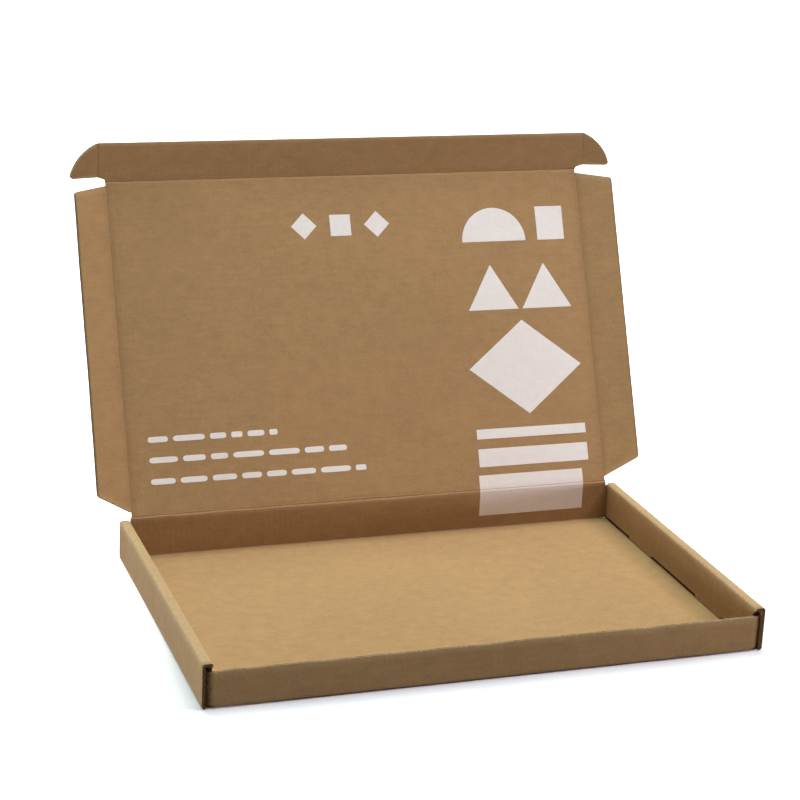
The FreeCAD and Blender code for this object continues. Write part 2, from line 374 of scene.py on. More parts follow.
@dataclass
class Shell:
    """Closed faces gathered for one piece, with each point's flat place and its value of rubbed paper,
    above 0, or painted shade, below 0.

    The surface gives middle points and unit normals that face the inner side, and thick gives the
    thickness there. The origin shifts the flat coordinates, so that panels show different paper.
    """

    make: Make
    surface: Surface
    thick: Measure
    origin: Span = (0.0, 0.0)
    points: list = field(default_factory=list)
    flat: list = field(default_factory=list)
    wear: list = field(default_factory=list)
    faces: list = field(default_factory=list)
    layers: list = field(default_factory=list)

    def add(self, points: Array, flat: Array, wear: Array, groups: Sequence) -> None:
        """Adds faces. A four-cornered face that repeats a corner becomes a triangle, or is dropped.

        Args:
            points: Places in millimetres, one row each.
            flat: Flat coordinates in millimetres, one row each.
            wear: The wear of each point: rubbed paper above 0, painted shade below 0.
            groups: Pairs of an array of four-cornered faces and their layer.
        """
        quads = np.concatenate([quads for quads, _ in groups])
        layers = np.concatenate([np.full(len(quads), layer.value) for quads, layer in groups])
        used, packed = np.unique(quads, return_inverse=True)
        packed = packed.reshape(quads.shape)
        repeats = packed == np.roll(packed, -1, axis=1)
        number = repeats.sum(axis=1)
        pinched = (packed[:, 0] == packed[:, 2]) | (packed[:, 1] == packed[:, 3])
        whole = (number == 0) & ~pinched
        thin = (number == 1) & ~pinched
        triangles = packed[thin][~repeats[thin]].reshape(-1, 3)
        first = sum(len(rows) for rows in self.points)
        self.faces += (packed[whole] + first).tolist() + (triangles + first).tolist()
        self.layers += [layers[whole], layers[thin]]
        self.points.append(points[used])
        self.flat.append(flat[used])
        self.wear.append(wear[used])

    def board(
        self,
        p: Array,
        q: Array,
        wear: Measure = zero,
        keep: Array | None = None,
        seam: Array | None = None,
        liner: float | None = None,
        layers: tuple[Layer, Layer, Layer] = (Layer.INNER, Layer.OUTER, Layer.CUT),
    ) -> None:
        """Adds a sheet of board on a grid, with a slot between its two liners round every cut edge.

        The two liners lie half the thickness to either side of the middle surface. Along a cut edge
        the slot runs in as far as the next grid line, which lies the slot's depth inside the edge.

        Args:
            p, q: Flat coordinates of the grid points, as two-dimensional arrays.
            wear: Gives the wear, above 0 where the paper is rubbed, with a painted highlight on the
                lid's long creases, and below 0 where shade is painted.
            keep: Which grid cells are board; all of them if it isn't given.
            seam: Grid points on an edge that has no slot, where the sheet goes on in another piece.
            liner: Thickness of one liner, if it isn't the board's.
            layers: Layers of the inner face, the outer face and the cut.
        """
        points, normals = self.surface(p, q)
        half = (self.thick(p, q) * np.ones(p.shape))[..., None] / 2
        rows, columns = p.shape
        size = rows * columns
        index = np.arange(size).reshape(rows, columns)
        if keep is None:
            keep = np.ones((rows - 1, columns - 1), bool)
        corner = (index[:-1, :-1], index[1:, :-1], index[1:, 1:], index[:-1, 1:])
        cells = np.stack(corner, axis=-1)[keep]

        ringed = np.pad(keep, 1)
        starts, ends = [], []
        for first, (down, right) in enumerate(((0, -1), (1, 0), (0, 1), (-1, 0))):
            bare = keep & ~ringed[1 + down:rows + down, 1 + right:columns + right]
            starts.append(corner[first][bare])
            ends.append(corner[(first + 1) % 4][bare])
        a, b = np.concatenate(starts), np.concatenate(ends)
        count = ringed.astype(int)
        down = np.sign(count[1:, :-1] + count[1:, 1:] - count[:-1, :-1] - count[:-1, 1:])
        right = np.sign(count[:-1, 1:] + count[1:, 1:] - count[:-1, :-1] - count[1:, :-1])
        row, column = np.indices(p.shape)
        inner = index[np.clip(row + down, 0, rows - 1), np.clip(column + right, 0, columns - 1)]
        if seam is not None:
            inner = np.where(seam, index, inner)
        inner_a, inner_b = inner.ravel()[a], inner.ravel()[b]

        under, lip, foot = size, 2 * size, 3 * size
        rims = [
            (a, b), (lip + a, lip + b), (lip + inner_a, lip + inner_b), (foot + inner_a, foot + inner_b),
            (foot + a, foot + b), (under + a, under + b),
        ]
        cut = [np.stack((high[0], *low, high[1]), axis=-1) for high, low in zip(rims, rims[1:])]
        groups = list(zip((cells, cells[:, ::-1] + under, np.concatenate(cut)), layers))
        along = points[1:, :-1] - points[:-1, :-1]
        across = points[:-1, 1:] - points[:-1, :-1]
        if np.sum(np.cross(along, across) * normals[:-1, :-1]) < 0:
            groups = [(quads[:, ::-1], layer) for quads, layer in groups]
        liner = self.make.liner if liner is None else liner
        core = np.maximum(half - liner, half * self.make.least_core)
        solid = (points + normals * np.stack((half, -half, core, -core))).reshape(-1, 3)
        flat = np.stack((p + self.origin[0], q + self.origin[1]), axis=-1).reshape(-1, 2)
        rubbed_and_shaded = (wear(p, q) * np.ones(p.shape)).ravel()
        self.add(solid, np.tile(flat, (4, 1)), np.tile(rubbed_and_shaded, 4), groups)

    def ribbon(
        self, places: Sequence[float], edge: Callable[[Array], Array], inward: int, fine: int = 10
    ) -> None:
        """Adds the wavy paper that shows in the slot of an edge that crosses the flutes.

        The ribbon leaves the middle surface by a sine of p with the flutes' pitch, as high as the slot.

        Args:
            places: p of the edge's two ends, and of places between that need a line.
            edge: Gives the edge's q at p.
            inward: 1 where the board lies above the edge, -1 where it lies below.
            fine: Steps to one flute.
        """
        m = self.make

        def wave(p: Array, q: Array) -> Array:
            """The ribbon's height above the middle surface."""
            room = self.thick(p, q) * np.ones(p.shape) / 2 - m.liner - m.ribbon / 2 + m.ribbon_bite
            return room * np.sin(2 * math.pi * p / m.pitch)

        depth = np.array([m.ribbon_setback, m.slot + m.ribbon_overrun]) * inward
        along = lines(places, m.pitch / fine)
        p = np.repeat(along[:, None], 2, axis=1)
        q = (edge(along) * np.ones(along.shape))[:, None] + depth
        self.film(p, q, wave, m.ribbon, Layer.CUT, lambda p, q: m.ribbon_wear)

    def film(
        self, p: Array, q: Array, height: Measure, thickness: float, layer: Layer,
        wear: Measure = zero,
    ) -> None:
        """Adds a thin closed sheet without a slot, at a height above the middle surface.

        The sheet is a copy of this shell that fills the same lists.

        Args:
            p, q: Flat coordinates of the grid points.
            height: Gives the height of the sheet's own middle.
            thickness: The sheet's thickness.
            layer: The layer of every face.
            wear: Gives the wear.
        """

        def lifted(p: Array, q: Array) -> Pair:
            """Points moved along their normals, and the normals."""
            points, normals = self.surface(p, q)
            return points + normals * height(p, q)[..., None], normals

        sheet = replace(self, surface=lifted, thick=lambda p, q: thickness)
        sheet.board(p, q, wear, None, np.ones(p.shape, bool), thickness / 4, (layer, layer, layer))

    def to_piece(
        self,
        name: str,
        finishes: Sequence[Material],
        body: str | None = None,
        replaces: Sequence[str] = (),
        crisp: float = 38.0,
    ) -> bpy.types.Object:
        """Makes the piece, and gives it the body it rides on and the nodes it stands for.

        Args:
            name: The piece's name.
            finishes: Its materials, in the order of the layers.
            body: The CAD body, or None to leave the piece on no body.
            replaces: Names of the CAD nodes.
            crisp: Edges that turn by more than this many degrees are shaded sharp.

        Returns:
            The object, at the origin.
        """
        mesh = bpy.data.meshes.new(name)
        mesh.from_pydata(np.concatenate(self.points) * MM, [], self.faces)
        mesh.polygons.foreach_set("material_index", np.concatenate(self.layers).astype(np.int32))
        corners = np.empty(len(mesh.loops), np.int32)
        mesh.loops.foreach_get("vertex_index", corners)
        sheet = mesh.uv_layers.new(name="sheet")
        places = np.concatenate(self.flat)[corners] * MM
        sheet.uv.foreach_set("vector", places.astype(np.float32).ravel())
        wear = mesh.attributes.new("wear", "FLOAT", "POINT")
        wear.data.foreach_set("value", np.concatenate(self.wear).astype(np.float32))
        for finish in finishes:
            mesh.materials.append(finish)
        mesh.shade_smooth()
        mesh.set_sharp_from_angle(angle=math.radians(crisp))
        mesh.update()
        piece = placed(name, mesh)
        if body is not None:
            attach(piece, body)
        if replaces:
            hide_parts(*replaces)
        log.info("%s: %d faces on %s", name, len(mesh.polygons), body or "a crease")
        return piece


@dataclass(frozen=True)
class FlatPanel:
    """A panel that lies in a plane, apart from a slight swell."""

    origin: Array
    across: Array
    up: Array
    inner: Array
    bow: Measure

    def place(self, p: Array, q: Array) -> Pair:
        """Middle surface: origin + p times across + q times up + the swell along the normal.

        Args:
            p, q: Flat coordinates.

        Returns:
            Points and unit normals.
        """
        p, q = np.broadcast_arrays(p, q)
        points = self.origin + p[..., None] * self.across + q[..., None] * self.up
        return points + self.bow(p, q)[..., None] * self.inner, np.broadcast_to(self.inner, points.shape)

    def turned(
        self, start: float, axis: Array, out: Array, fold: float, bow: Measure
    ) -> "FlatPanel":
        """The flap that hangs on this panel at p = start, folded towards its inner side.

        Args:
            start: The crease's p on this panel.
            axis: Direction of the crease, about which the fold turns.
            out: Direction of the flap before it is folded.
            fold: Angle in radians.
            bow: The flap's own swell.

        Returns:
            The flap, with p counted outwards from the crease.
        """
        c, s = math.cos(fold), math.sin(fold)
        turned_out = out * c + np.cross(axis, out) * s
        turned_inner = self.inner * c + np.cross(axis, self.inner) * s
        return FlatPanel(self.origin + start * self.across, turned_out, self.up, turned_inner, bow)


@dataclass(frozen=True)
class FoldPath:
    """A line of straight runs and arcs in a plane."""

    start: Span
    heading: float
    runs: tuple[Span, ...]

    def at(self, s: Array) -> tuple[Array, Array, Array, Array]:
        """Follows the path. In a run of length L that turns by T, the point at distance d lies at the
        end of a chord of length d sin(h) / h, with h = d T / 2 L, that leaves at an angle h.

        Args:
            s: Distances along the path.

        Returns:
            The two coordinates, and the two parts of the unit normal on the path's right.
        """
        x, y, turn = np.zeros(s.shape), np.zeros(s.shape), np.zeros(s.shape)
        here, heading, begun = np.array(self.start), self.heading, 0.0
        for number, (length, bend) in enumerate(self.runs):
            inside = (s >= begun) | (number == 0)
            local = s - begun
            if number < len(self.runs) - 1:
                local = np.minimum(local, length)
            local = np.append(local.ravel(), length)
            half = local * bend / length / 2
            chord = local * np.sinc(half / math.pi)
            dx, dy = chord * np.cos(heading + half), chord * np.sin(heading + half)
            x = np.where(inside, here[0] + dx[:-1].reshape(s.shape), x)
            y = np.where(inside, here[1] + dy[:-1].reshape(s.shape), y)
            turn = np.where(inside, heading + 2 * half[:-1].reshape(s.shape), turn)
            here = here + np.array([dx[-1], dy[-1]])
            heading += bend
            begun += length
        return x, y, np.sin(turn), -np.cos(turn)


class Wiring:
    """Adds nodes to one node tree and links them."""

    def __init__(self, tree: NodeTree) -> None:
        """Keeps the tree."""
        self.tree = tree

    @classmethod
    def afresh(cls, owner: Material | bpy.types.World) -> "Wiring":
        """Wiring of a material's or a world's own tree, emptied first."""
        owner.use_nodes = True
        owner.node_tree.nodes.clear()
        return cls(owner.node_tree)

    def add(self, kind: str, options: dict | None = None, **inputs: object) -> bpy.types.Node:
        """Adds a node.

        Args:
            kind: The node's type name without "ShaderNode".
            options: Its own settings.
            inputs: Values or sockets by input name, with _ for a blank, or by number as i0, i1.

        Returns:
            The node.
        """
        node = self.tree.nodes.new("ShaderNode" + kind)
        for key, value in (options or {}).items():
            setattr(node, key, value)
        for key, value in inputs.items():
            by_number = key[0] == "i" and key[1:].isdigit()
            self.feed(node.inputs[int(key[1:]) if by_number else key.replace("_", " ")], value)
        return node

    def feed(self, socket: Socket, value: object) -> None:
        """Links a socket to an input, or sets the input's value."""
        if isinstance(value, Socket):
            self.tree.links.new(value, socket)
        else:
            socket.default_value = value

    def math(self, operation: str, *values: object) -> Socket:
        """Result of a Math node on one, two or three values."""
        inputs = {f"i{number}": value for number, value in enumerate(values)}
        return self.add("Math", {"operation": operation}, **inputs).outputs[0]

    def noise(
        self, place: object, scale: float, detail: float = 2.0, rough: float = 0.5
    ) -> Socket:
        """Noise from about 0 to 1 at a vector place."""
        made = self.add("TexNoise", None, Vector=place, Scale=scale, Detail=detail, Roughness=rough)
        return made.outputs["Fac"]

    def stretch(self, place: object, scale: Triple, shift: Triple = (0, 0, 0)) -> Socket:
        """A place scaled along each axis and shifted."""
        return self.add("Mapping", None, Vector=place, Scale=scale, Location=shift).outputs[0]

    def times(self, first: object, second: object) -> Socket:
        """Product of two values."""
        return self.math("MULTIPLY", first, second)

    def ramp(self, value: object, low: float, high: float) -> Socket:
        """A value carried smoothly from 0 at low to 1 at high."""
        options = {"interpolation_type": "SMOOTHSTEP"}
        inputs = {"Value": value, "From_Min": low, "From_Max": high}
        return self.add("MapRange", options, **inputs).outputs["Result"]

    def blend(self, mask: object, first: object, second: object) -> Socket:
        """Colour between first, at mask 0, and second, at mask 1."""
        node = self.add("Mix", {"data_type": "RGBA"}, Factor=mask)
        self.feed(node.inputs[6], first)
        self.feed(node.inputs[7], second)
        return node.outputs[2]


def linear(red: float, green: float, blue: float) -> Colour:
    """A screen colour of 0 to 255 parts as the linear colour that nodes take."""
    parts = [c / 255 for c in (red, green, blue)]
    out = [c / 12.92 if c <= 0.04045 else ((c + 0.055) / 1.055) ** 2.4 for c in parts]
    return (out[0], out[1], out[2], 1.0)


def effect(name: str, values: dict[str, float], outputs: Sequence[str]) -> tuple[Wiring, dict]:
    """Starts a node group, with the vector input Place and its float inputs.

    Args:
        name: The group's name.
        values: Default of each float input, by name.
        outputs: Names of its float outputs.

    Returns:
        The group's wiring and its input sockets by name.
    """
    tree = bpy.data.node_groups.new(name, "ShaderNodeTree")
    tree.interface.new_socket("Place", in_out="INPUT", socket_type="NodeSocketVector")
    for label, value in values.items():
        socket = tree.interface.new_socket(label, in_out="INPUT", socket_type="NodeSocketFloat")
        socket.default_value = value
    for label in outputs:
        tree.interface.new_socket(label, in_out="OUTPUT", socket_type="NodeSocketFloat")
    source = tree.nodes.new("NodeGroupInput")
    return Wiring(tree), {label: source.outputs[label] for label in ("Place", *values)}


def close_effect(wiring: Wiring, **results: Socket) -> NodeTree:
    """Links a group's results to its outputs by name, and gives the finished group."""
    sink = wiring.tree.nodes.new("NodeGroupOutput")
    for label, value in results.items():
        wiring.feed(sink.inputs[label], value)
    return wiring.tree


def fibre_effect() -> NodeTree:
    """Tone of kraft paper: clouds, fibres that lie across the flutes, and dark and light flecks.

    Returns:
        Group with the input Place and the outputs Tone, Dark and Light, each 0 to 1.
    """
    w, given = effect("kraft_fibres", {}, ["Tone", "Dark", "Light"])
    place = given["Place"]
    fine = w.noise(w.stretch(place, (0.42, 1.0, 1.0)), 1500.0, 5.0, 0.72)
    cloud = w.noise(place, 55.0, 4.0, 0.6)
    streak = w.noise(w.stretch(place, (0.25, 1.0, 1.0), (3.1, 1.7, 0.0)), 420.0, 3.0, 0.6)
    broad = w.noise(w.stretch(place, (1.0, 1.0, 1.0), (9.1, 4.7, 0.0)), 9.0, 2.0, 0.5)
    patch = w.noise(w.stretch(place, (1.0, 1.0, 1.0), (4.4, 6.1, 0.0)), 130.0, 3.0, 0.6)
    tone = w.times(patch, 0.18)
    for layer, share in ((cloud, 0.1), (broad, 0.12), (streak, 0.18), (fine, 0.42)):
        tone = w.math("MULTIPLY_ADD", layer, share, tone)
    fleck = w.noise(w.stretch(place, (0.5, 1.0, 1.0), (7.3, 2.9, 0.0)), 1100.0, 2.0, 0.55)
    pale = w.noise(w.stretch(place, (0.35, 1.0, 1.0), (1.3, 8.9, 0.0)), 900.0, 2.0, 0.6)
    return close_effect(
        w, Tone=w.ramp(tone, 0.4, 0.6), Dark=w.ramp(fleck, 0.64, 0.78), Light=w.ramp(pale, 0.62, 0.78)
    )


def relief_effect() -> NodeTree:
    """Height of the board's face in millimetres: ribs of the flutes below, fibres and soft dents.

    Returns:
        Group with inputs Place, Ribs, Fibres and Dents, and the output Height.
    """
    w, given = effect("board_relief", {"Ribs": 0.02, "Fibres": 0.01, "Dents": 0.1}, ["Height"])
    place = given["Place"]
    across = w.add("SeparateXYZ", None, Vector=place).outputs[0]
    wobble = w.times(w.noise(place, 40.0, 2.0), 0.0012)
    angle = w.times(w.math("ADD", across, wobble), 2 * math.pi / (Make.pitch * MM))
    patch = w.ramp(w.noise(w.stretch(place, (1.0, 0.4, 1.0), (5.0, 4.0, 0.0)), 28.0, 3.0), 0.3, 0.7)
    ribs = w.times(w.times(w.math("SINE", angle), patch), given["Ribs"])
    lying = w.noise(w.stretch(place, (0.4, 1.0, 1.0)), 1900.0, 4.0, 0.7)
    fibres = w.times(lying, given["Fibres"])
    soft = w.noise(w.stretch(place, (1.0, 0.7, 1.0), (2.0, 9.0, 0.0)), 62.0, 4.0, 0.55)
    fold = w.noise(w.stretch(place, (1.0, 0.8, 1.0), (6.0, 3.0, 0.0)), 130.0, 2.0, 0.5)
    ridge = w.times(w.math("ABSOLUTE", w.math("SUBTRACT", fold, 0.5)), 0.9)
    dents = w.times(w.math("ADD", soft, ridge), given["Dents"])
    return close_effect(w, Height=w.math("ADD", w.math("ADD", ribs, fibres), dents))


def rub_and_shade_effect() -> NodeTree:
    """Rubbed paper along cut edges and creases, with a painted highlight on the lid's long creases,
    where the attribute is above 0, and painted shade in grooves, corners, recesses and under the inner
    plies, where it is below. Noise breaks both up.

    Returns:
        Group with the input Place and an input for rubbed paper and painted shade, and two outputs:
        rubbed paper with painted highlight, and painted shade.
    """
    w, given = effect("rubbed_edges", {"Wear": 0.0}, ["Mask", "Soil"])
    broken = w.ramp(w.noise(given["Place"], 600.0, 3.0, 0.65), 0.3, 0.7)
    reach = w.math("MULTIPLY_ADD", broken, 0.6, 0.4)
    rubbed = w.times(w.math("MAXIMUM", given["Wear"], 0.0), reach)
    # Painted shade: the part of the attribute below 0, broken up by the same noise.
    painted_shade = w.times(w.math("MAXIMUM", w.times(given["Wear"], -1.0), 0.0), reach)
    return close_effect(w, Mask=rubbed, Soil=painted_shade)


@dataclass(frozen=True)
class PaperFinish:
    """Kraft paper, what of it shows in a cut, or pale ink that has sunk into it.

    tone holds the shares of the colour where the paper is darkest and palest, and rough the
    roughness where it is darkest and what is added where it is palest. relief holds the heights of
    the ribs, fibres and dents. flecks and worn hold the output of an effect, how much of it shows and
    its colour.
    """

    name: str
    colour: Colour
    flecks: tuple[tuple[str, float, Colour], ...]
    rubbed_and_shaded: tuple[tuple[str, float, Colour], ...] = ()
    tone: Span = (0.879, 1.088)
    rough: Span = (0.9, -0.08)
    relief: Triple = (0.018, 0.022, 0.3)
    specular: float = 0.25
    shift: Triple = (0.0, 0.0, 0.0)

    def material(self, effects: dict[str, NodeTree]) -> Material:
        """Builds the material from the shared effects.

        Args:
            effects: Node groups by name.

        Returns:
            The material.
        """
        made = bpy.data.materials.new(self.name)
        w = Wiring.afresh(made)
        uv = w.add("UVMap", {"uv_map": "sheet"}).outputs[0]
        place = w.stretch(uv, (1.0, 1.0, 1.0), self.shift)
        fibres = w.add("Group", {"node_tree": effects["fibres"]}, Place=place).outputs
        ribs, lying, dents = self.relief
        relief = w.add(
            "Group", {"node_tree": effects["relief"]}, Place=place, Ribs=ribs, Fibres=lying, Dents=dents
        )
        low, high = (tuple(c * share for c in self.colour[:3]) + (1.0,) for share in self.tone)
        colour = w.blend(fibres["Tone"], low, high)
        for output, share, tint in self.flecks:
            colour = w.blend(w.times(fibres[output], share), colour, tint)
        # Rubbed paper and painted highlight where the mesh attribute is above 0, painted shade where it
        # is below.
        if self.rubbed_and_shaded:
            wear = w.add("Attribute", {"attribute_name": "wear"}).outputs["Fac"]
            rub_highlight_and_shade = w.add("Group", {"node_tree": effects["rub_highlight_and_shade"]}, Place=place, Wear=wear).outputs
            for output, share, tint in self.rubbed_and_shaded:
                colour = w.blend(w.times(rub_highlight_and_shade[output], share), colour, tint)
        base, change = self.rough
        rough = w.math("MULTIPLY_ADD", fibres["Tone"], change, base)
        bump = w.add("Bump", None, Height=relief.outputs["Height"], Distance=MM, Strength=1.0)
        shader = w.add(
            "BsdfPrincipled", None, Base_Color=colour, Roughness=rough, Normal=bump.outputs[0]
        )
        shader.inputs["Specular IOR Level"].default_value = self.specular
        w.add("OutputMaterial", None, Surface=shader.outputs[0])
        return made


@dataclass
class Finishes:
    """The materials that the pieces share."""

    board: list
    ink: list

    @classmethod
    def build(cls) -> "Finishes":
        """Makes the effects and every material.

        Returns:
            The materials by use.
        """
        effects = {"fibres": fibre_effect(), "relief": relief_effect(), "rub_highlight_and_shade": rub_and_shade_effect()}
        pale = ("Light", 0.35, linear(200, 172, 134))
        flecks = (("Dark", 0.5, linear(116, 84, 54)), pale)
        # Pale tints: rubbed paper, with a painted highlight on the lid's long creases. Dark tints:
        # painted shade in grooves, corners, recesses and under the inner plies.
        rubbed, painted_shade = linear(206, 180, 142), ("Soil", 0.85, linear(84, 58, 36))
        inner = PaperFinish(
            "kraft_inner_liner", linear(172, 136, 96), flecks,
            (("Mask", 0.6, linear(222, 194, 154)), painted_shade),
        )
        outer = PaperFinish(
            "kraft_outer_liner", linear(169, 135, 97), flecks, (("Mask", 0.6, rubbed), painted_shade),
            shift=(0.41, 0.23, 0.0),
        )
        cut = PaperFinish(
            "cut_board_core", linear(134, 104, 72), (("Dark", 0.5, linear(78, 56, 36)), pale),
            # Painted shade on the cut faces at the plies' ends.
            (("Mask", 0.95, rubbed), ("Soil", 0.95, linear(56, 44, 32))),
            rough=(0.99, -0.08), relief=(0.0, 0.022, 0.05), shift=(0.77, 0.61, 0.0),
        )
        ink = PaperFinish(
            "pale_print", linear(247, 239, 240), (("Dark", 0.35, linear(196, 170, 138)),),
            tone=(0.94, 1.0), rough=(0.75, -0.1), relief=(0.009, 0.016, 0.3), specular=0.3,
        )
        return cls([finish.material(effects) for finish in (inner, outer, cut)], [ink.material(effects)])


@dataclass
class Part:
    """What the tray and the lid are built from."""

    sizes: BoxSizes
    make: Make
    finishes: Finishes

    def crushed(self, distance: Array) -> Array:
        """Thickness at a distance from a crease's edge: crushed there, and full board further out."""
        board, m = self.sizes.board, self.make
        return board - (board - m.crushed) * near(np.maximum(distance, 0), m.crush_fade)


@dataclass
class Tray(Part):
    """Floor, front and back walls with their corner flaps, and the two rolled side walls."""

    def thick(self, p: Array, q: Array) -> Array:
        """Full board everywhere."""
        return self.sizes.board + 0 * p

    def floor_surface(self, p: Array, q: Array) -> Pair:
        """Middle surface of the floor: p is x, q is y, and z is half a board plus a swell of up to
        half a millimetre, which fades out towards the walls."""
        s = self.sizes
        hold = FLOOR_SWELL.within(s.inside_half - np.abs(p), s.half_depth - 3 - np.abs(q))
        height = s.board / 2 + hold * np.maximum(FLOOR_SWELL.at(p, q), 0)
        points = np.stack((p, q, height), axis=-1)
        return points, np.broadcast_to(Z_AXIS, points.shape)

    def build_floor(self) -> None:
        """Floor panel with its tab slots and corner reliefs."""
        s, m = self.sizes, self.make
        end_x, end_y = s.half_length - s.floor_bend, s.half_depth - s.floor_bend
        slot_in, slot_out = s.inside_half - s.tab_play, s.inside_half + s.board + s.tab_play
        relief, ring = s.half_depth - s.corner_relief, 0.5
        tabs = s.tabs(s.tab_play)
        foot = s.half_depth - s.board
        marks = [s.wall_half - 0.4, s.wall_half, s.inside_half - 1.4, s.inside_half - 0.6]
        xs = both([*marks, slot_in - m.slot, slot_in, slot_out, slot_out + ring, end_x])
        ys = beside(tabs, m.slot) + both([relief - ring, relief, end_y]) + [foot - 2, foot - 1]
        p, q = mesh_grid(lines(xs, m.step), lines(ys, m.step))
        x_mid, y_mid = np.abs(middle(p)), middle(q)
        keep = ~((x_mid > s.wall_half) & (np.abs(y_mid) > relief))
        for low, high in tabs:
            keep &= ~((x_mid > slot_in) & (x_mid < slot_out) & (y_mid > low) & (y_mid < high))
        seam = (np.abs(p) > end_x - EDGE) | (np.abs(q) > end_y - EDGE)

        def wear(p: Array, q: Array) -> Array:
            """Rubbed round the tab slots; painted shade under the inner plies and along the back wall's
            foot.
            """
            rubbed = near(np.abs(p) - slot_in + 0.6, 0.6) * 0.5
            by_tab = sum(smooth(-1.5, 0.5, q - low) * smooth(-1.5, 0.5, high - q) for low, high in tabs)
            # Painted shade under the inner plies, and below along the back wall's foot.
            shade_mask = smooth(-0.5, 0.3, np.abs(p) - s.inside_half)
            return rubbed * by_tab * (1 - shade_mask) - np.maximum(shade_mask, near(foot - q, 1.0) * 0.6)

        shell = Shell(m, self.floor_surface, self.thick)
        shell.board(p, q, wear, keep, seam)
        shell.to_piece("tray_floor", self.finishes.board, "tray", ["tray"])

    def wall_surface(self, wall: Wall) -> Surface:
        """Surface of the front or back wall with its corner flaps.

        In plan the wall runs straight along x, turns a quarter on each corner's arc and runs back
        beside the side wall. Upright it starts at the floor with a quarter arc and goes straight up.

        Args:
            wall: Which of the two.

        Returns:
            The surface, of p along the plan and q, which is z above the floor's bend.
        """
        s, facing = self.sizes, wall.value
        runs = ((s.wall_half, 0.0), (s.corner_arc, QUARTER), (s.corner_flap, 0.0))
        plan = FoldPath((0.0, 0.0), 0.0, runs)
        bend = s.floor_bend - s.board / 2

        def surface(p: Array, q: Array) -> Pair:
            """Points and normals of the wall."""
            x, depth, right_x, right_depth = plan.at(np.abs(p))
            inward_x, inward = -right_x * np.sign(p), -right_depth
            angle = np.clip((s.floor_bend - q) / bend, 0.0, QUARTER)
            swell = WALL_SWELLS[wall]
            hold = swell.within(s.wall_half - np.abs(p)) * smooth(4, 16, q)
            offset = bend * (1 - np.cos(angle)) + hold * np.maximum(swell.at(p, q), 0)
            height = np.where(q < s.floor_bend, s.floor_bend - bend * np.sin(angle), q)
            if wall is Wall.FRONT:
                ragged = sum(edge.at(p, 0 * p) for edge in EDGE_SWELLS)
                height = height + smooth(s.front_height - 5, s.front_height, q) * ragged
            y = facing * (depth - s.half_depth + s.board / 2 + offset * inward)
            points = np.stack((x * np.sign(p) + offset * inward_x, y, height), axis=-1)
            lean = np.stack((inward_x, facing * inward, 0 * p), axis=-1)
            return points, lean * np.cos(angle)[..., None] + Z_AXIS * np.sin(angle)[..., None]

        return surface

    def wall_top(self, wall: Wall) -> float:
        """Height of a wall's upper edge, which is free in front and at the lid's crease behind."""
        s = self.sizes
        return s.front_height if wall is Wall.FRONT else s.hinge[2] - self.make.crease

    def wall_shell(self, wall: Wall) -> Shell:
        """Empty shell of the front or back wall."""
        top = self.wall_top(wall)

        def thick(p: Array, q: Array) -> Array:
            """Full board, crushed towards the lid's crease."""
            return self.thick(p, q) if wall is Wall.FRONT else self.crushed(top - q)

        return Shell(self.make, self.wall_surface(wall), thick, (0.0, 140.0 * wall.value))

    def build_cross_wall(self, wall: Wall) -> None:
        """Front or back wall, with its bend from the floor and its two corner flaps."""
        s, m = self.sizes, self.make
        back, top = wall is Wall.BACK, self.wall_top(wall)
        flap_top = s.side_height - s.web_relief if back else top
        arc = s.corner_arc
        reach = s.wall_half + arc + s.corner_flap - s.corner_bend
        start = s.floor_bend - s.floor_arc
        ps = both([s.wall_half - 0.6, *arc_lines(s.wall_half, arc), reach - m.slot, reach])
        edge = [top + m.crease - gap for gap in m.crease_lines] if back else [top - m.slot, top]
        flap = [s.flap_low, s.flap_low + 0.6, flap_top - m.slot, flap_top]
        qs = [*arc_lines(start, s.floor_arc), *edge, *flap]
        p, q = mesh_grid(lines(ps, m.step), lines(qs, m.step))
        q_mid = middle(q)
        keep = ~((np.abs(middle(p)) > s.wall_half) & ((q_mid < s.flap_low) | (q_mid > flap_top)))
        seam = (q < start + EDGE) | ((q > top - EDGE) & back)

        def wear(p: Array, q: Array) -> Array:
            """Rubbed along the upper edge and the floor's bend, with painted shade beyond the corner
            bends.
            """
            upper = near(top - q, 0.9) * (0.35 if back else 1.0)
            rubbed = np.maximum(upper, near(q - start - 0.8, 1.2) * 0.3)
            # Painted shade beyond the corner bends, in the recess beside the side wall.
            shade_mask = smooth(0.05 * arc, 0.35 * arc, np.abs(p) - s.wall_half)
            return rubbed * (1 - shade_mask) - shade_mask

        shell = self.wall_shell(wall)
        shell.board(p, q, wear, keep, seam)
        ends = ([-0.2 - s.wall_half, -reach], [s.wall_half + 0.2, reach]) if back else ([-reach, reach],)
        for places in ends:
            shell.ribbon(places, lambda p: flap_top, -1)
        shell.to_piece(f"tray_{wall.name.lower()}_wall", self.finishes.board, "tray")

    def side_wall_surface(self, side: Side) -> Surface:
        """Surface of a rolled side wall.

        In section it leaves the floor on a quarter arc, goes up as the outer ply, over the top on
        two small arcs, and down again as the inner ply. The ply then ends, or goes on as a tab.

        Args:
            side: Which end of the box.

        Returns:
            The surface, of p along the section and q, which is y.
        """
        s, sign = self.sizes, side.value
        bent = (s.roll_arc, -QUARTER)
        runs = (
            (s.floor_arc, -QUARTER), (s.roll_rise, 0.0), bent, (s.roll_web, 0.0), bent,
            (s.side_height - s.roll_bend, 0.0),
        )
        path = FoldPath((s.floor_bend, s.board / 2), math.pi, runs)

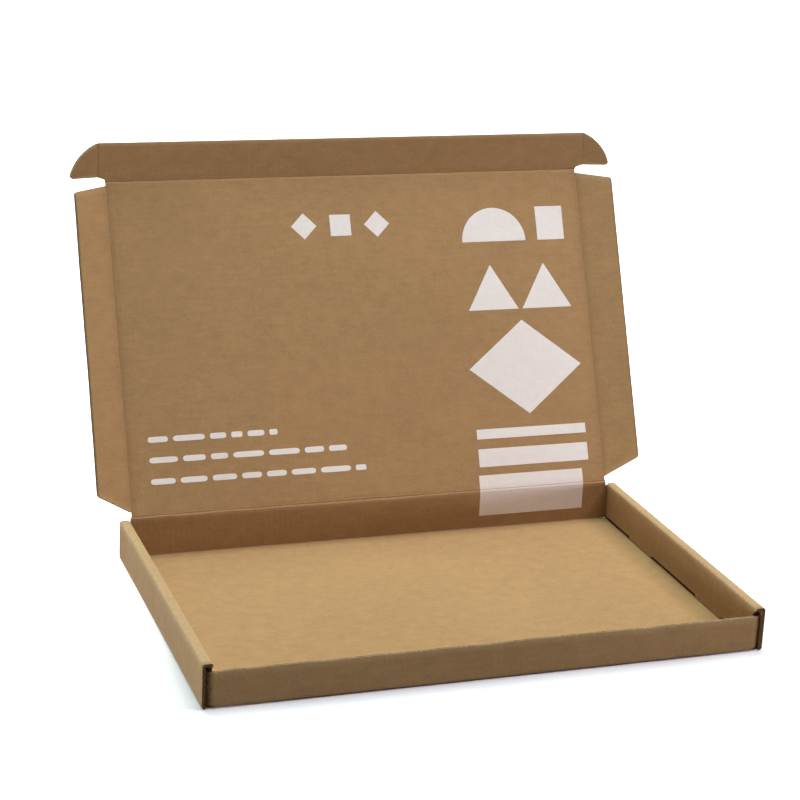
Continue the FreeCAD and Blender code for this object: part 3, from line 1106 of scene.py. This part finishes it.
        def surface(p: Array, q: Array) -> Pair:
            """Points and normals of the wall."""
            inward, height, normal_in, normal_up = path.at(p)
            up = p - s.floor_arc
            swell = SIDE_SWELLS[side]
            hold = swell.within(up, s.roll_rise - up) * smooth(0, 14, s.half_depth - np.abs(q))
            dent = hold * np.maximum(swell.at(p, q), 0)
            inward = inward + dent * np.clip(normal_in, 0, 1)
            points = np.stack((sign * (s.half_length - inward), q + 0 * p, height), axis=-1)
            return points, np.stack((-sign * normal_in, 0 * p, normal_up), axis=-1)

        return surface

    def build_side_wall(self, side: Side) -> None:
        """Rolled side wall with its inner ply and two tabs."""
        s, m = self.sizes, self.make
        roll = s.floor_arc + s.roll_rise
        web = roll + s.roll_arc
        drop = web + s.roll_web
        plain = drop + s.roll_arc
        settled = plain + 2.5
        ply_end = plain + s.side_height - s.roll_bend - s.ply_low
        tab_end = ply_end + s.ply_low - s.tab_low
        inner_end = s.half_depth - s.inner_setback
        arcs = arc_lines(0.0, s.floor_arc) + arc_lines(roll, s.roll_arc) + arc_lines(drop, s.roll_arc)
        ps = lines([*arcs, settled, ply_end - m.slot, ply_end, tab_end - m.slot, tab_end], m.step)
        qs = lines(beside(s.tabs(), m.slot) + both([inner_end - m.slot, inner_end]), m.step)
        p, base = mesh_grid(ps, qs)

        def reach(p: Array) -> Pair:
            """How far the wall goes on beyond the inner ply's front and back end, at p."""
            rolled = s.inner_setback * smooth(drop + s.roll_arc * 0.4, settled, p)
            web_cut = s.web_relief * smooth(web - 1.2, web - 0.2, p)
            return s.inner_setback - rolled, s.inner_setback - np.maximum(web_cut, rolled)

        def share(distance: Array) -> Array:
            """Share of that reach by which a line moves: all at the end, and none well inside it."""
            fade = 14.0
            return np.clip((distance - inner_end + 2 * m.slot + fade) / fade, 0, 1)

        front, back = reach(p)
        q = base - front * share(-base) + back * share(base)
        q_mid = middle(base)
        keep = middle(p) < ply_end
        for start, end in s.tabs():
            keep |= (q_mid > start) & (q_mid < end)

        def wear(p: Array, q: Array) -> Array:
            """Rubbed on the top, the floor's bend and the inner ply's lower edge; painted shade at the
            plies' ends.
            """
            # Painted shade at the front and back ends of the plies.
            end = near(s.half_depth - np.abs(q), 0.4) + near(inner_end - np.abs(q), 0.4) * (p > plain)
            pale = np.maximum.reduce((
                near(p - roll - s.roll_arc / 2, 1.6) * 0.8,
                near(p - drop - s.roll_arc / 2, 1.4) * 0.8,
                smooth(roll, web, p) * smooth(plain, drop, p) * 0.35,
                near(p - s.floor_arc / 2, 1.3) * 0.4,
                near(ply_end - p, 0.6) * 0.3,
            ))
            return np.where(end > 0.3, -end, pale)

        shell = Shell(m, self.side_wall_surface(side), self.thick, (190.0 * side.value, 0.0))
        shell.board(p, q, wear, keep, p < EDGE)
        places = [0.0, web - 1.2, ply_end - 0.3]
        shell.ribbon(places, lambda p: -inner_end - reach(p)[0], 1)
        shell.ribbon(places, lambda p: inner_end + reach(p)[1], -1)
        shell.to_piece(f"tray_side_wall_{side.name.lower()}", self.finishes.board, "tray")

    def build(self) -> None:
        """Every piece of the tray."""
        self.build_floor()
        for wall in Wall:
            self.build_cross_wall(wall)
        for side in Side:
            self.build_side_wall(side)


@dataclass
class CreaseStrip:
    """The crushed crease between two panels that move against each other.

    Its line's level, above 0, is rubbed paper with a painted highlight, and below 0 painted shade in the
    groove; deepest is where across it, from -1 to 1, the groove is deepest. The reaches, the line's
    shift aside and its jogs are in the same measure.
    """

    name: str
    bodies: tuple[str, str]
    line: Array
    along: Array
    before: Pair
    after: Pair
    spans: tuple[Span, Span]
    make: Make
    origin: Span = (0.0, 0.0)
    # Painted shade in the groove, unless a crease is given a pale line.
    rub_highlight_and_shade: float = -0.25
    deepest: float = 0.0
    rub_and_highlight_reach: float = 0.45
    shade_reach: float = 1.3
    aside: float = 0.25
    jog: float = 0.22

    def surface(self, p: Array, r: Array) -> Pair:
        """Middle surface of the crease: a quadratic Bezier curve across it, from one panel's edge
        over the crease line's place to the other panel's edge, carried along the crease.

        Args:
            p: Place along the crease.
            r: Place across it, from -1 at the first panel to 1 at the second.

        Returns:
            Points and unit normals.
        """
        t = ((r + 1) / 2)[..., None]
        w = self.make.crease
        bow = w * (t * t * self.after[0] - (1 - t) ** 2 * self.before[0])
        points = self.line + p[..., None] * self.along + bow
        normals = (1 - t) * self.before[1] + t * self.after[1]
        return points, normals / np.linalg.norm(normals, axis=-1, keepdims=True)

    def thick(self, p: Array, r: Array) -> Array:
        """Crushed thickness, with a smooth dip that is deepest at its own place across the strip."""
        m = self.make
        dip = np.where(r < self.deepest, (r + 1) / (self.deepest + 1), (1 - r) / (1 - self.deepest))
        return m.crushed - (m.crushed - m.creased) * dip * dip * (3 - 2 * dip)

    def wear(self, p: Array, r: Array) -> Array:
        """A thin pale line with small jogs, rubbed paper with a painted highlight, or for a negative
        level painted shade in the groove.
        """
        jog = self.jog * np.tanh(CREASE_SWELL.at(p, 0 * p))
        reach = self.rub_and_highlight_reach if self.rub_highlight_and_shade > 0 else self.shade_reach
        return near(r + self.aside - jog, reach) * self.rub_highlight_and_shade

    def grid(self) -> Pair:
        """Points between the spans of the two panels' edges."""
        r = self.across
        (low_a, high_a), (low_b, high_b) = self.spans
        share = (r + 1) / 2
        low, high = low_a + (low_b - low_a) * share, high_a + (high_b - high_a) * share
        along = lines([0.0, 1.0], self.make.step / max(high_a - low_a, EDGE))
        p = low + (high - low) * along[:, None]
        return p, np.broadcast_to(r, p.shape)

    @property
    def across(self) -> Array:
        """Lines across the strip."""
        return np.linspace(-1, 1, 11)

    def ends(self) -> tuple[Vector, Vector]:
        """The two places in metres between which the crease turns."""
        start = (self.line - self.make.crease * self.before[0]) * MM
        end = (self.line + self.make.crease * self.after[0]) * MM
        return Vector(start), Vector(end)

    def shell(self) -> Shell:
        """Empty shell of the strip."""
        return Shell(self.make, self.surface, self.thick, self.origin)

    def finish(self, shell: Shell, name: str, finishes: Sequence[Material]) -> None:
        """Makes a piece that lies on the crease, with its transform baked into the mesh."""
        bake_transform(shell.to_piece(name, finishes, crisp=60.0))

    def build(self, finishes: Finishes) -> None:
        """The strip itself."""
        p, r = self.grid()
        shell = self.shell()
        shell.board(p, r, self.wear, seam=np.ones(p.shape, bool))
        self.finish(shell, self.name, finishes.board)


@dataclass
class Lid(Part):
    """Lid panel, side flaps, tuck flap and ears, with the creases that join them."""

    def __post_init__(self) -> None:
        """Places every panel."""
        s = self.sizes
        inner = np.cross(X_AXIS, s.lid_up)
        self.panel = FlatPanel(s.hinge, X_AXIS, s.lid_up, inner, self.lid_bow)
        tuck_inner = np.cross(X_AXIS, s.tuck_up)
        self.tuck = FlatPanel(s.tuck_hinge, X_AXIS, s.tuck_up, tuck_inner, self.tuck_bow)
        self.flaps, self.ears = {}, {}
        for side in Side:
            word, out = side.name.lower(), side.value * X_AXIS
            self.flaps[side] = self.panel.turned(
                side.value * s.side_crease, -side.value * s.lid_up, out,
                rest_fold(f"side_flap_{word}_hinge"), self.flap_bow,
            )
            self.ears[side] = self.tuck.turned(
                side.value * s.ear_crease, -side.value * s.tuck_up, out,
                rest_fold(f"ear_{word}_hinge"), zero,
            )

    def lid_bow(self, p: Array, q: Array) -> Array:
        """Swell of the lid, nothing at its creases."""
        s = self.sizes
        hold = LID_SWELL.within(s.side_crease - np.abs(p), q, s.lid_depth - q)
        bulge = np.sin(math.pi * np.clip(q / s.lid_depth, 0, 1)) * (1 - (p / s.side_crease) ** 2)
        return hold * LID_SWELL.at(p, q) + s.lid_bulge * bulge

    def tuck_bow(self, p: Array, q: Array) -> Array:
        """Slight forward swell of the tuck flap, growing towards its free edge."""
        hold = smooth(1, 18, q) * TUCK_SWELL.within(self.sizes.ear_crease - np.abs(p))
        return hold * np.maximum(TUCK_SWELL.at(p, q), 0)

    def flap_bow(self, p: Array, q: Array) -> Array:
        """Slight inward swell of a side flap, growing towards its free edge."""
        return smooth(1, 20, p) * FLAP_SWELL.at(p, q)

    def lid_thick(self, p: Array, q: Array) -> Array:
        """Full board, crushed towards the four creases."""
        s = self.sizes
        distance = np.minimum.reduce((s.side_crease - np.abs(p), q, s.lid_depth - q))
        return self.crushed(distance - self.make.crease)

    def flap_thick(self, p: Array, q: Array) -> Array:
        """Full board, crushed towards the crease at p = 0."""
        return self.crushed(p - self.make.crease)

    def panel_shell(self) -> Shell:
        """Empty shell of the lid's main panel."""
        return Shell(self.make, self.panel.place, self.lid_thick, (0.0, 330.0))

    def build_panel(self) -> None:
        """The lid's main panel."""
        s, m = self.sizes, self.make
        foot, head = s.side_flap_foot, s.lid_depth - s.side_flap_head
        ps = both([s.lid_edge, *(s.side_crease - gap for gap in m.crease_lines)])
        qs = [foot, head, *m.crease_lines, *(s.lid_depth - gap for gap in m.crease_lines)]
        p, q = mesh_grid(lines(ps, m.step), lines(qs, m.step))
        q_mid = middle(q)
        keep = ~((np.abs(middle(p)) > s.side_crease - m.crease) & (q_mid > foot) & (q_mid < head))

        def wear(p: Array, q: Array) -> Array:
            """Rubbed paper and a painted highlight beside the long creases, and a little painted shade
            beside the side flaps' creases.
            """
            # Rubbed paper and a painted highlight beside the long creases; painted shade beside the side
            # flaps' creases.
            distance = np.minimum(q, s.lid_depth - q)
            shade_mask = near(np.maximum(s.side_crease - np.abs(p) - m.crease, 0), 2.4) * 0.25
            return near(np.maximum(distance - m.crease, 0), 0.5) * 0.35 - shade_mask

        shell = self.panel_shell()
        shell.board(p, q, wear, keep, np.ones(p.shape, bool))
        shell.to_piece("lid_board", self.finishes.board, "lid", ["lid_panel"])

    def build_hung(
        self, name: str, panel: FlatPanel, columns: Array, rows: int, bounds: Bounds, wear: Measure,
        fluted: float, fine: int, origin: Span,
    ) -> None:
        """A flap that hangs on a crease at p = 0.

        Each column of its grid goes from its own lower to its own upper end. The second line at
        either end lies the slot's depth inside it, or a third of a short column.

        Args:
            name: Its body and node.
            panel: Where it lies.
            columns: p of the columns.
            rows: Number of lines between the outer two.
            bounds: Gives the lower and the upper end at p.
            wear: Gives the wear: rubbed paper above 0, painted shade below 0.
            fluted: p up to which flutes show in its two cuts.
            fine: Steps to one flute.
            origin: Shift of the flat coordinates.
        """
        m = self.make
        low, high = bounds(columns)
        ring = np.minimum(m.slot, (high - low) * 0.3)
        inside = (low + ring)[:, None] + (high - low - 2 * ring)[:, None] * np.linspace(0, 1, rows)
        q = np.concatenate((low[:, None], inside, high[:, None]), axis=1)
        p = np.broadcast_to(columns[:, None], q.shape)
        shell = Shell(m, panel.place, self.flap_thick, origin)
        shell.board(p, q, wear, seam=p < m.crease + EDGE)
        places = [m.crease + 0.2, fluted]
        shell.ribbon(places, lambda p: bounds(p)[0], 1, fine)
        shell.ribbon(places, lambda p: bounds(p)[1], -1, fine)
        shell.to_piece(f"{name}_board", self.finishes.board, name, [name])

    def build_side_flap(self, side: Side) -> None:
        """Side flap with its two slanted ends, softly rounded at the outer corners."""
        s, m = self.sizes, self.make
        out, rounding = s.side_flap_width, 1.6
        columns = lines([m.crease, m.crease + 1.0, out - 3, out - rounding, out - m.slot, out], 2.2)
        columns = np.union1d(columns, out - rounding * (1 - np.sin(np.linspace(0, QUARTER, 7))))

        def bounds(p: Array) -> Pair:
            """Lower and upper end of the flap at p: slanted lines, with a quarter circle at the end."""
            turn = np.clip(p - (out - rounding), 0, rounding)
            corner = rounding - np.sqrt(np.maximum(rounding ** 2 - turn ** 2, 0))
            low = s.side_flap_foot + s.side_flap_slant * p / out + corner
            return low, s.lid_depth - s.side_flap_head - s.side_flap_fall * p / out - corner

        def wear(p: Array, q: Array) -> Array:
            """Rubbed along the slanted ends; painted shade along the crease and the outer edge."""
            low, high = bounds(p)
            ends = np.maximum(np.minimum(q - low, high - q), 0)
            # Painted shade along the crease and the outer edge.
            shade_mask = np.maximum(near(p - m.crease, 2.2) * 0.2, near(out - p, 0.7) * 0.7)
            return near(ends, 0.5) * 0.7 - shade_mask

        name, origin = f"side_flap_{side.name.lower()}", (400.0 * side.value, 330.0)
        self.build_hung(name, self.flaps[side], columns, 46, bounds, wear, out - rounding, 10, origin)

    def tuck_half(self, q: Array) -> Array:
        """Half the tuck flap's length at q: a quarter ellipse round the notch's end, then a slant."""
        s = self.sizes
        turn = np.clip(q / s.notch_rise, 0, 1)
        nose = s.notch_nose * (1 - np.sqrt(1 - turn * turn))
        slant = (s.ear_crease - s.side_crease - s.notch_nose) / (s.ear_rise - s.notch_rise)
        return s.side_crease + nose + slant * np.maximum(q - s.notch_rise, 0)

    def build_tuck_flap(self) -> None:
        """Tuck flap, whose lower corners slant out to the ears."""
        s, m = self.sizes, self.make
        full, tip = s.ear_crease - m.crease, s.tuck_length
        notch = [m.crease, 1.1, 1.5, s.notch_rise, s.ear_rise - 0.3, s.ear_rise]
        shares = lines(both([full - 3, full - m.slot, full]), m.step) / full
        share, q = mesh_grid(shares, lines([*notch, 4.5, tip - m.slot, tip], 2.0))
        p = share * np.minimum(full, self.tuck_half(q))
        seam = (q < m.crease + EDGE) | ((np.abs(share) > 1 - ROUNDING) & (q < tip - EDGE))

        def thick(p: Array, q: Array) -> Array:
            """Full board, crushed towards the creases."""
            return self.crushed(np.minimum(s.ear_crease - np.abs(p), q) - m.crease)

        def wear(p: Array, q: Array) -> Array:
            """Rubbed along the free edge."""
            return near(tip - q, 0.6)

        shell = Shell(m, self.tuck.place, thick, (0.0, 560.0))
        shell.board(p, q, wear, seam=seam)
        shell.ribbon(both([full - 0.1]), lambda p: tip, -1)
        shell.to_piece("tuck_flap_board", self.finishes.board, "tuck_flap", ["tuck_flap"])

    def build_ear(self, side: Side) -> None:
        """Ear with a wide arc above, which starts at the crease, and a small round corner below."""
        s, m = self.sizes, self.make
        out, tip = s.ear_length, s.tuck_length
        toe_top = s.ear_rise + s.ear_toe
        half = np.array([out, toe_top - tip]) / 2
        reach = np.linalg.norm(half)
        back = math.sqrt(s.ear_round ** 2 - reach ** 2) / reach
        centre = (half[0] + back * half[1], tip + half[1] - back * half[0])

        def bounds(p: Array) -> Pair:
            """Lower and upper end of the ear at p: a straight edge with a quarter circle at the toe,
            and a circle's arc through the crease's top and the toe."""
            toe = np.clip(p - (out - s.ear_toe), 0, s.ear_toe)
            low = toe_top - np.sqrt(np.maximum(s.ear_toe ** 2 - toe ** 2, 0))
            high = centre[1] + np.sqrt(s.ear_round ** 2 - (p - centre[0]) ** 2)
            return low, np.maximum(high, low + 0.01)

        def wear(p: Array, q: Array) -> Array:
            """Rubbed along the free edges."""
            low, high = bounds(p)
            return near(np.maximum(np.minimum.reduce((out - p, q - low, high - q)), 0), 0.6)

        arc = out * np.sin(np.linspace(0, QUARTER, 26))
        columns = np.unique(np.round(np.concatenate(([m.crease, m.crease + 0.8, out - m.slot], arc)), 5))
        columns = columns[columns >= m.crease - ROUNDING]
        name, origin = f"ear_{side.name.lower()}", (250.0 * side.value, 560.0)
        self.build_hung(name, self.ears[side], columns, 10, bounds, wear, out - 2.2, 12, origin)

    def creases(self) -> list[CreaseStrip]:
        """Every crease that moves.

        Returns:
            The strips, the lid's hinge first.
        """
        s, m = self.sizes, self.make
        back_inner = np.array([0.0, -1.0, 0.0])
        lid_edge, wide = s.lid_edge, s.wall_half
        tuck_edge = float(self.tuck_half(np.array(m.crease)))
        lid, tuck = self.panel, self.tuck
        strips = [
            # The lid's hinge: a pale line of rubbed paper and painted highlight.
            CreaseStrip(
                "lid_crease", ("tray", "lid"), s.hinge, X_AXIS, (Z_AXIS, back_inner),
                (lid.up, lid.inner), ((-wide, wide), (-lid_edge, lid_edge)), m, (0.0, 260.0), 1.0, 0.45,
            ),
            # The tuck crease: a fainter pale line of rubbed paper and painted highlight.
            CreaseStrip(
                "tuck_crease", ("lid", "tuck_flap"), s.tuck_hinge, X_AXIS, (lid.up, lid.inner),
                (tuck.up, tuck.inner), ((-lid_edge, lid_edge), (-tuck_edge, tuck_edge)), m, (0.0, 530.0),
                0.45, 0.3,
            ),
        ]
        foot, head = s.side_flap_foot, s.lid_depth - s.side_flap_head
        foot_out = foot + s.side_flap_slant * m.crease / s.side_flap_width
        head_out = head - s.side_flap_fall * m.crease / s.side_flap_width
        for side in Side:
            word, out = side.name.lower(), side.value * X_AXIS
            flap, ear = self.flaps[side], self.ears[side]
            # The side flaps' and ears' creases keep painted shade in their grooves.
            strips.append(CreaseStrip(
                f"side_crease_{word}", ("lid", f"side_flap_{word}"), flap.origin, lid.up,
                (out, lid.inner), (flap.across, flap.inner), ((foot, head), (foot_out, head_out)), m,
                (600.0 * side.value, 0.0),
            ))
            span = (s.ear_rise, s.tuck_length - 0.25)
            strips.append(CreaseStrip(
                f"ear_crease_{word}", ("tuck_flap", f"ear_{word}"), ear.origin, tuck.up,
                (out, tuck.inner), (ear.across, ear.inner), ((s.ear_rise - 0.2, s.tuck_length), span), m,
                (700.0 * side.value, 0.0),
            ))
        return strips

    def build(self) -> None:
        """Every piece of the lid."""
        self.build_panel()
        self.build_tuck_flap()
        for side in Side:
            self.build_side_flap(side)
            self.build_ear(side)
        for strip in self.creases():
            strip.build(self.finishes)


class Motif(Enum):
    """Simple shapes that the print is made of."""

    BAR = "bar"
    DIAMOND = "diamond"
    TRIANGLE = "triangle"
    HALF_DISC = "half disc"
    DASH = "dash"


@dataclass(frozen=True)
class Mark:
    """One printed shape, in a panel's flat coordinates."""

    motif: Motif
    centre: Span
    size: Span

    def profile(self, t: Array) -> Pair:
        """Lower and upper outline, both as shares of half the height.

        Bar: -1 and 1. Diamond: minus and plus 1 - |t|. Triangle: -1 and 1 - 2|t|. Half disc: -1 and
        2 root(1 - t squared) - 1. Dash: minus and plus root(1 - t to the tenth), a bar with soft ends.

        Args:
            t: Place across the shape, -1 to 1.

        Returns:
            The two outlines.
        """
        one = np.ones(t.shape)
        if self.motif is Motif.DIAMOND:
            return np.abs(t) - one, one - np.abs(t)
        if self.motif is Motif.TRIANGLE:
            return -one, one - 2 * np.abs(t)
        if self.motif is Motif.HALF_DISC:
            return -one, 2 * np.sqrt(np.maximum(1 - t * t, 0)) - 1
        if self.motif is Motif.DASH:
            reach = np.sqrt(np.maximum(1 - np.abs(t) ** 10, 0))
            return -reach, reach
        return -one, one

    def grid(self, step: float) -> Pair:
        """Columns across the shape, closer together at its sides where the outline is round.

        Args:
            step: Longest step.

        Returns:
            p and q of the grid points.
        """
        width, height = self.size
        count = max(4, math.ceil(width / step / 2))
        t = lines([-1.0, 0.0, 1.0], 1.0 / count)
        if self.motif in (Motif.HALF_DISC, Motif.DASH):
            t = np.sin(np.linspace(-math.pi / 2, math.pi / 2, 4 * count + 1))
        low, high = self.profile(t)
        high = np.maximum(high, low + 0.01 / height)
        share = np.linspace(0, 1, max(2, math.ceil(height / step) + 1))
        q = self.centre[1] + height / 2 * (low[:, None] + (high - low)[:, None] * share)
        p = self.centre[0] + width / 2 * t
        return np.broadcast_to(p[:, None], q.shape), q


@dataclass
class Print:
    """Pale print on the lid's inner side: a column of plain shapes that runs over the hinge, a
    small mark and three rows of dashes.

    film is the ink's thickness and lift its height above the board's face. band holds the two sides
    of the band over the hinge. row_ends holds where each row of dashes ends, and its height on the
    lid. A row is full when less than dash_least is left of it.
    """

    lid: Lid
    tray: Tray
    film: float = 0.035
    lift: float = 0.04
    seed: int = 19
    band: Span = (66.0, 134.0)
    band_top: float = 9.0
    band_foot: float = 9.5
    row_start: float = -136.0
    row_ends: tuple[Span, ...] = ((-58.0, 44.0), (-16.0, 32.0), (0.0, 19.5))
    dash_lengths: Span = (6.0, 20.0)
    dash_height: float = 3.4
    dash_gap: float = 3.0
    dash_least: float = 4.0

    def column(self) -> list[Mark]:
        """The large shapes on the lid above the hinge's band."""
        return [
            Mark(Motif.BAR, (103.0, 19.5), (72.0, 11.0)),
            Mark(Motif.BAR, (103.0, 34.0), (72.0, 6.0)),
            Mark(Motif.DIAMOND, (103.0, 74.0), (74.0, 58.0)),
            Mark(Motif.TRIANGLE, (85.5, 124.0), (33.0, 28.0)),
            Mark(Motif.TRIANGLE, (121.0, 124.0), (33.0, 28.0)),
            Mark(Motif.HALF_DISC, (90.0, 163.0), (42.0, 21.0)),
            Mark(Motif.BAR, (128.0, 163.0), (18.0, 21.0)),
        ]

    def small_mark(self) -> list[Mark]:
        """Three small shapes in a row near the lid's upper edge."""
        return [
            Mark(Motif.DIAMOND, (-31.0, 166.0), (16.0, 16.0)),
            Mark(Motif.BAR, (-8.0, 166.0), (13.0, 13.0)),
            Mark(Motif.DIAMOND, (15.0, 166.0), (16.0, 16.0)),
        ]

    def rows(self) -> list[Mark]:
        """Three rows of short dashes of uneven length, as lines of small print read from afar."""
        rng = np.random.default_rng(self.seed)
        marks = []
        for end, height in self.row_ends:
            start = self.row_start
            while start < end - self.dash_least:
                length = min(float(rng.uniform(*self.dash_lengths)), end - start)
                size = (length, self.dash_height)
                marks.append(Mark(Motif.DASH, (start + length / 2, height), size))
                start += length + self.dash_gap
        return marks

    def lay(self, shell: Shell, p: Array, q: Array) -> None:
        """Adds one closed film of ink, just above the board's inner face.

        Args:
            shell: The board's own surface and thickness, where the faces go.
            p, q: Flat coordinates of the grid points.
        """

        def height(p: Array, q: Array) -> Array:
            """Height of the film above the board's middle."""
            return shell.thick(p, q) * np.ones(p.shape) / 2 + self.lift

        shell.film(p, q, height, self.film, Layer.INNER)

    def band_columns(self) -> Array:
        """p of the lines of the band that runs over the hinge."""
        return lines(self.band, self.lid.make.step)

    def build_on_lid(self) -> None:
        """Everything that is printed on the lid's main panel."""
        make, shell = self.lid.make, self.lid.panel_shell()
        for mark in self.column() + self.small_mark() + self.rows():
            self.lay(shell, *mark.grid(make.step))
        rows = lines([*make.crease_lines, self.band_top], make.step)
        self.lay(shell, *mesh_grid(self.band_columns(), rows))
        shell.to_piece("lid_print", self.lid.finishes.ink, "lid")

    def build_on_hinge(self) -> None:
        """The band's stretch on the crease."""
        strip = self.lid.creases()[0]
        shell = strip.shell()
        self.lay(shell, *mesh_grid(self.band_columns(), strip.across))
        strip.finish(shell, "hinge_print", self.lid.finishes.ink)

    def build_on_wall(self) -> None:
        """The band's foot on the back wall's inner side."""
        make, shell = self.lid.make, self.tray.wall_shell(Wall.BACK)
        top = self.lid.sizes.hinge[2]
        rows = lines([top - gap for gap in make.crease_lines] + [self.band_foot], make.step)
        self.lay(shell, *mesh_grid(self.band_columns(), rows))
        shell.to_piece("wall_print", self.lid.finishes.ink, "tray")

    def build(self) -> None:
        """The three pieces of print."""
        self.build_on_lid()
        self.build_on_hinge()
        self.build_on_wall()


@dataclass
class Camera:
    """The photograph's viewpoint, with the clip distances in metres."""

    place: Triple = (-395.27, -1046.08, 484.15)
    azimuth: float = -19.566
    elevation: float = 18.093
    roll: float = 2.711
    lens: float = 97.331
    sensor: float = 36.0
    clip: Span = (0.05, 30.0)

    def build(self) -> None:
        """Camera behind the direction of azimuth and elevation, rolled about its line of sight."""
        a, e, r = (math.radians(v) for v in (self.azimuth, self.elevation, self.roll))
        back = Vector((math.sin(a) * math.cos(e), -math.cos(a) * math.cos(e), math.sin(e)))
        right = (-back).cross(Vector((0, 0, 1))).normalized()
        down = (-back).cross(right)
        turned_right = right * math.cos(r) - down * math.sin(r)
        turned_down = right * math.sin(r) + down * math.cos(r)
        columns = Matrix((turned_right, -turned_down, back)).transposed()
        data = bpy.data.cameras.new("camera")
        data.lens, data.sensor_width = self.lens, self.sensor
        data.clip_start, data.clip_end = self.clip
        camera = placed("camera", data)
        camera.matrix_world = Matrix.Translation(Vector(self.place) * MM) @ columns.to_4x4()
        bpy.context.scene.camera = camera


@dataclass(frozen=True)
class AreaLamp:
    """A soft rectangular lamp that looks at a point. Its lengths are metres."""

    name: str
    place: Triple
    target: Triple
    size: Span
    power: float
    colour: Triple

    def build(self) -> None:
        """The lamp, with its -Z towards the target."""
        data = bpy.data.lights.new(self.name, "AREA")
        data.shape = "RECTANGLE"
        data.size, data.size_y = self.size
        data.energy = self.power
        data.color = self.colour
        lamp = placed(self.name, data)
        way = Vector(self.target) - Vector(self.place)
        lamp.rotation_euler = way.to_track_quat("-Z", "Y").to_euler()
        lamp.location = self.place


@dataclass
class Studio:
    """White floor, white surround for the camera, and soft lamps.

    Its lengths are metres. The floor's own shade shows under the box, and further out the camera
    sees it turn white, over the stretch `whitens` from a point in front of the box's middle.
    """

    lamps: tuple[AreaLamp, ...] = (
        AreaLamp("overhead", (0.0, 0.32, 1.9), (0.0, 0.05, 0.0), (1.4, 1.5), 43.0, (0.87, 1.03, 0.93)),
        AreaLamp(
            "left_low", (-1.1, 0.05, 0.035), (0.0, 0.0, 0.035), (1.4, 0.06), 6.4, (0.86, 0.93, 0.98)
        ),
        AreaLamp("right_high", (0.95, -0.35, 1.5), (0.0, 0.1, 0.1), (0.8, 0.6), 13.6, (1.0, 0.83, 0.86)),
        AreaLamp(
            "front_low", (0.62, -0.5, 0.045), (0.17, -0.05, 0.03), (0.4, 0.08), 1.15, (1.0, 0.87, 0.89)
        ),
        AreaLamp("back_soft", (-0.35, 1.35, 0.3), (0.0, 0.15, 0.1), (1.2, 0.4), 5.5, (0.95, 0.97, 1.0)),
    )
    ambient: float = 0.008
    reach: float = 6.0
    drop: float = 0.0002
    oval: Triple = (0.6, 1.0, 0.0)
    shift: Triple = (0.0, 0.1, 0.0)
    whitens: Span = (0.06, 0.2)
    lit_sheet: Colour = (0.34, 0.33, 0.30, 1.0)
    seen_sheet: Colour = (0.865, 0.865, 0.96, 1.0)

    def build_floor(self) -> None:
        """Floor: a wide flat sheet. For the camera it is lifted to white a little away from the box."""
        mesh = bpy.data.meshes.new("studio_floor")
        corners = ((-1, -1), (1, -1), (1, 1), (-1, 1))
        mesh.from_pydata([(x * self.reach, y * self.reach, 0) for x, y in corners], [], [(0, 1, 2, 3)])
        floor = placed("studio_floor", mesh)
        floor.location.z = -self.drop
        made = bpy.data.materials.new("white_floor")
        w = Wiring.afresh(made)
        place = w.stretch(w.add("TexCoord").outputs["Object"], self.oval, self.shift)
        length = w.add("VectorMath", {"operation": "LENGTH"}, i0=place).outputs["Value"]
        away = w.ramp(length, *self.whitens)
        sheet = w.blend(self.seen(w), self.lit_sheet, self.seen_sheet)
        shade = w.add("BsdfDiffuse", None, Color=sheet)
        glow = w.add("Emission", None, Color=WHITE, Strength=w.times(self.seen(w), away))
        both_shaders = w.add("AddShader", None, i0=shade.outputs[0], i1=glow.outputs[0])
        w.add("OutputMaterial", None, Surface=both_shaders.outputs[0])
        mesh.materials.append(made)

    def seen(self, w: Wiring) -> Socket:
        """1 for rays that the camera sees directly, in a mirror or through glass."""
        rays = w.add("LightPath").outputs
        direct = w.math("MAXIMUM", rays["Is Camera Ray"], rays["Is Glossy Ray"])
        return w.math("MAXIMUM", direct, rays["Is Transmission Ray"])

    def build_world(self) -> None:
        """World: white where it is seen, and a dim plain light for the rest."""
        world = bpy.data.worlds.new("surround")
        w = Wiring.afresh(world)
        plain = (self.ambient, 0.94 * self.ambient, 0.9 * self.ambient, 1.0)
        colour = w.blend(self.seen(w), plain, WHITE)
        glow = w.add("Background", None, Color=colour)
        w.add("OutputWorld", None, Surface=glow.outputs[0])
        bpy.context.scene.world = world

    def build(self) -> None:
        """Floor, surround and lamps."""
        self.build_floor()
        self.build_world()
        for lamp in self.lamps:
            lamp.build()


def main() -> None:
    """Builds the box and the studio."""
    logging.basicConfig(level=logging.INFO, format="%(name)s: %(message)s")
    sizes, make = BoxSizes.from_frame(), Make()
    finishes = Finishes.build()
    tray = Tray(sizes, make, finishes)
    tray.build()
    lid = Lid(sizes, make, finishes)
    lid.build()
    Print(lid, tray).build()
    Camera().build()
    Studio().build()
    bpy.context.scene.view_settings.view_transform = "Standard"


if __name__ == "__main__":
    main()
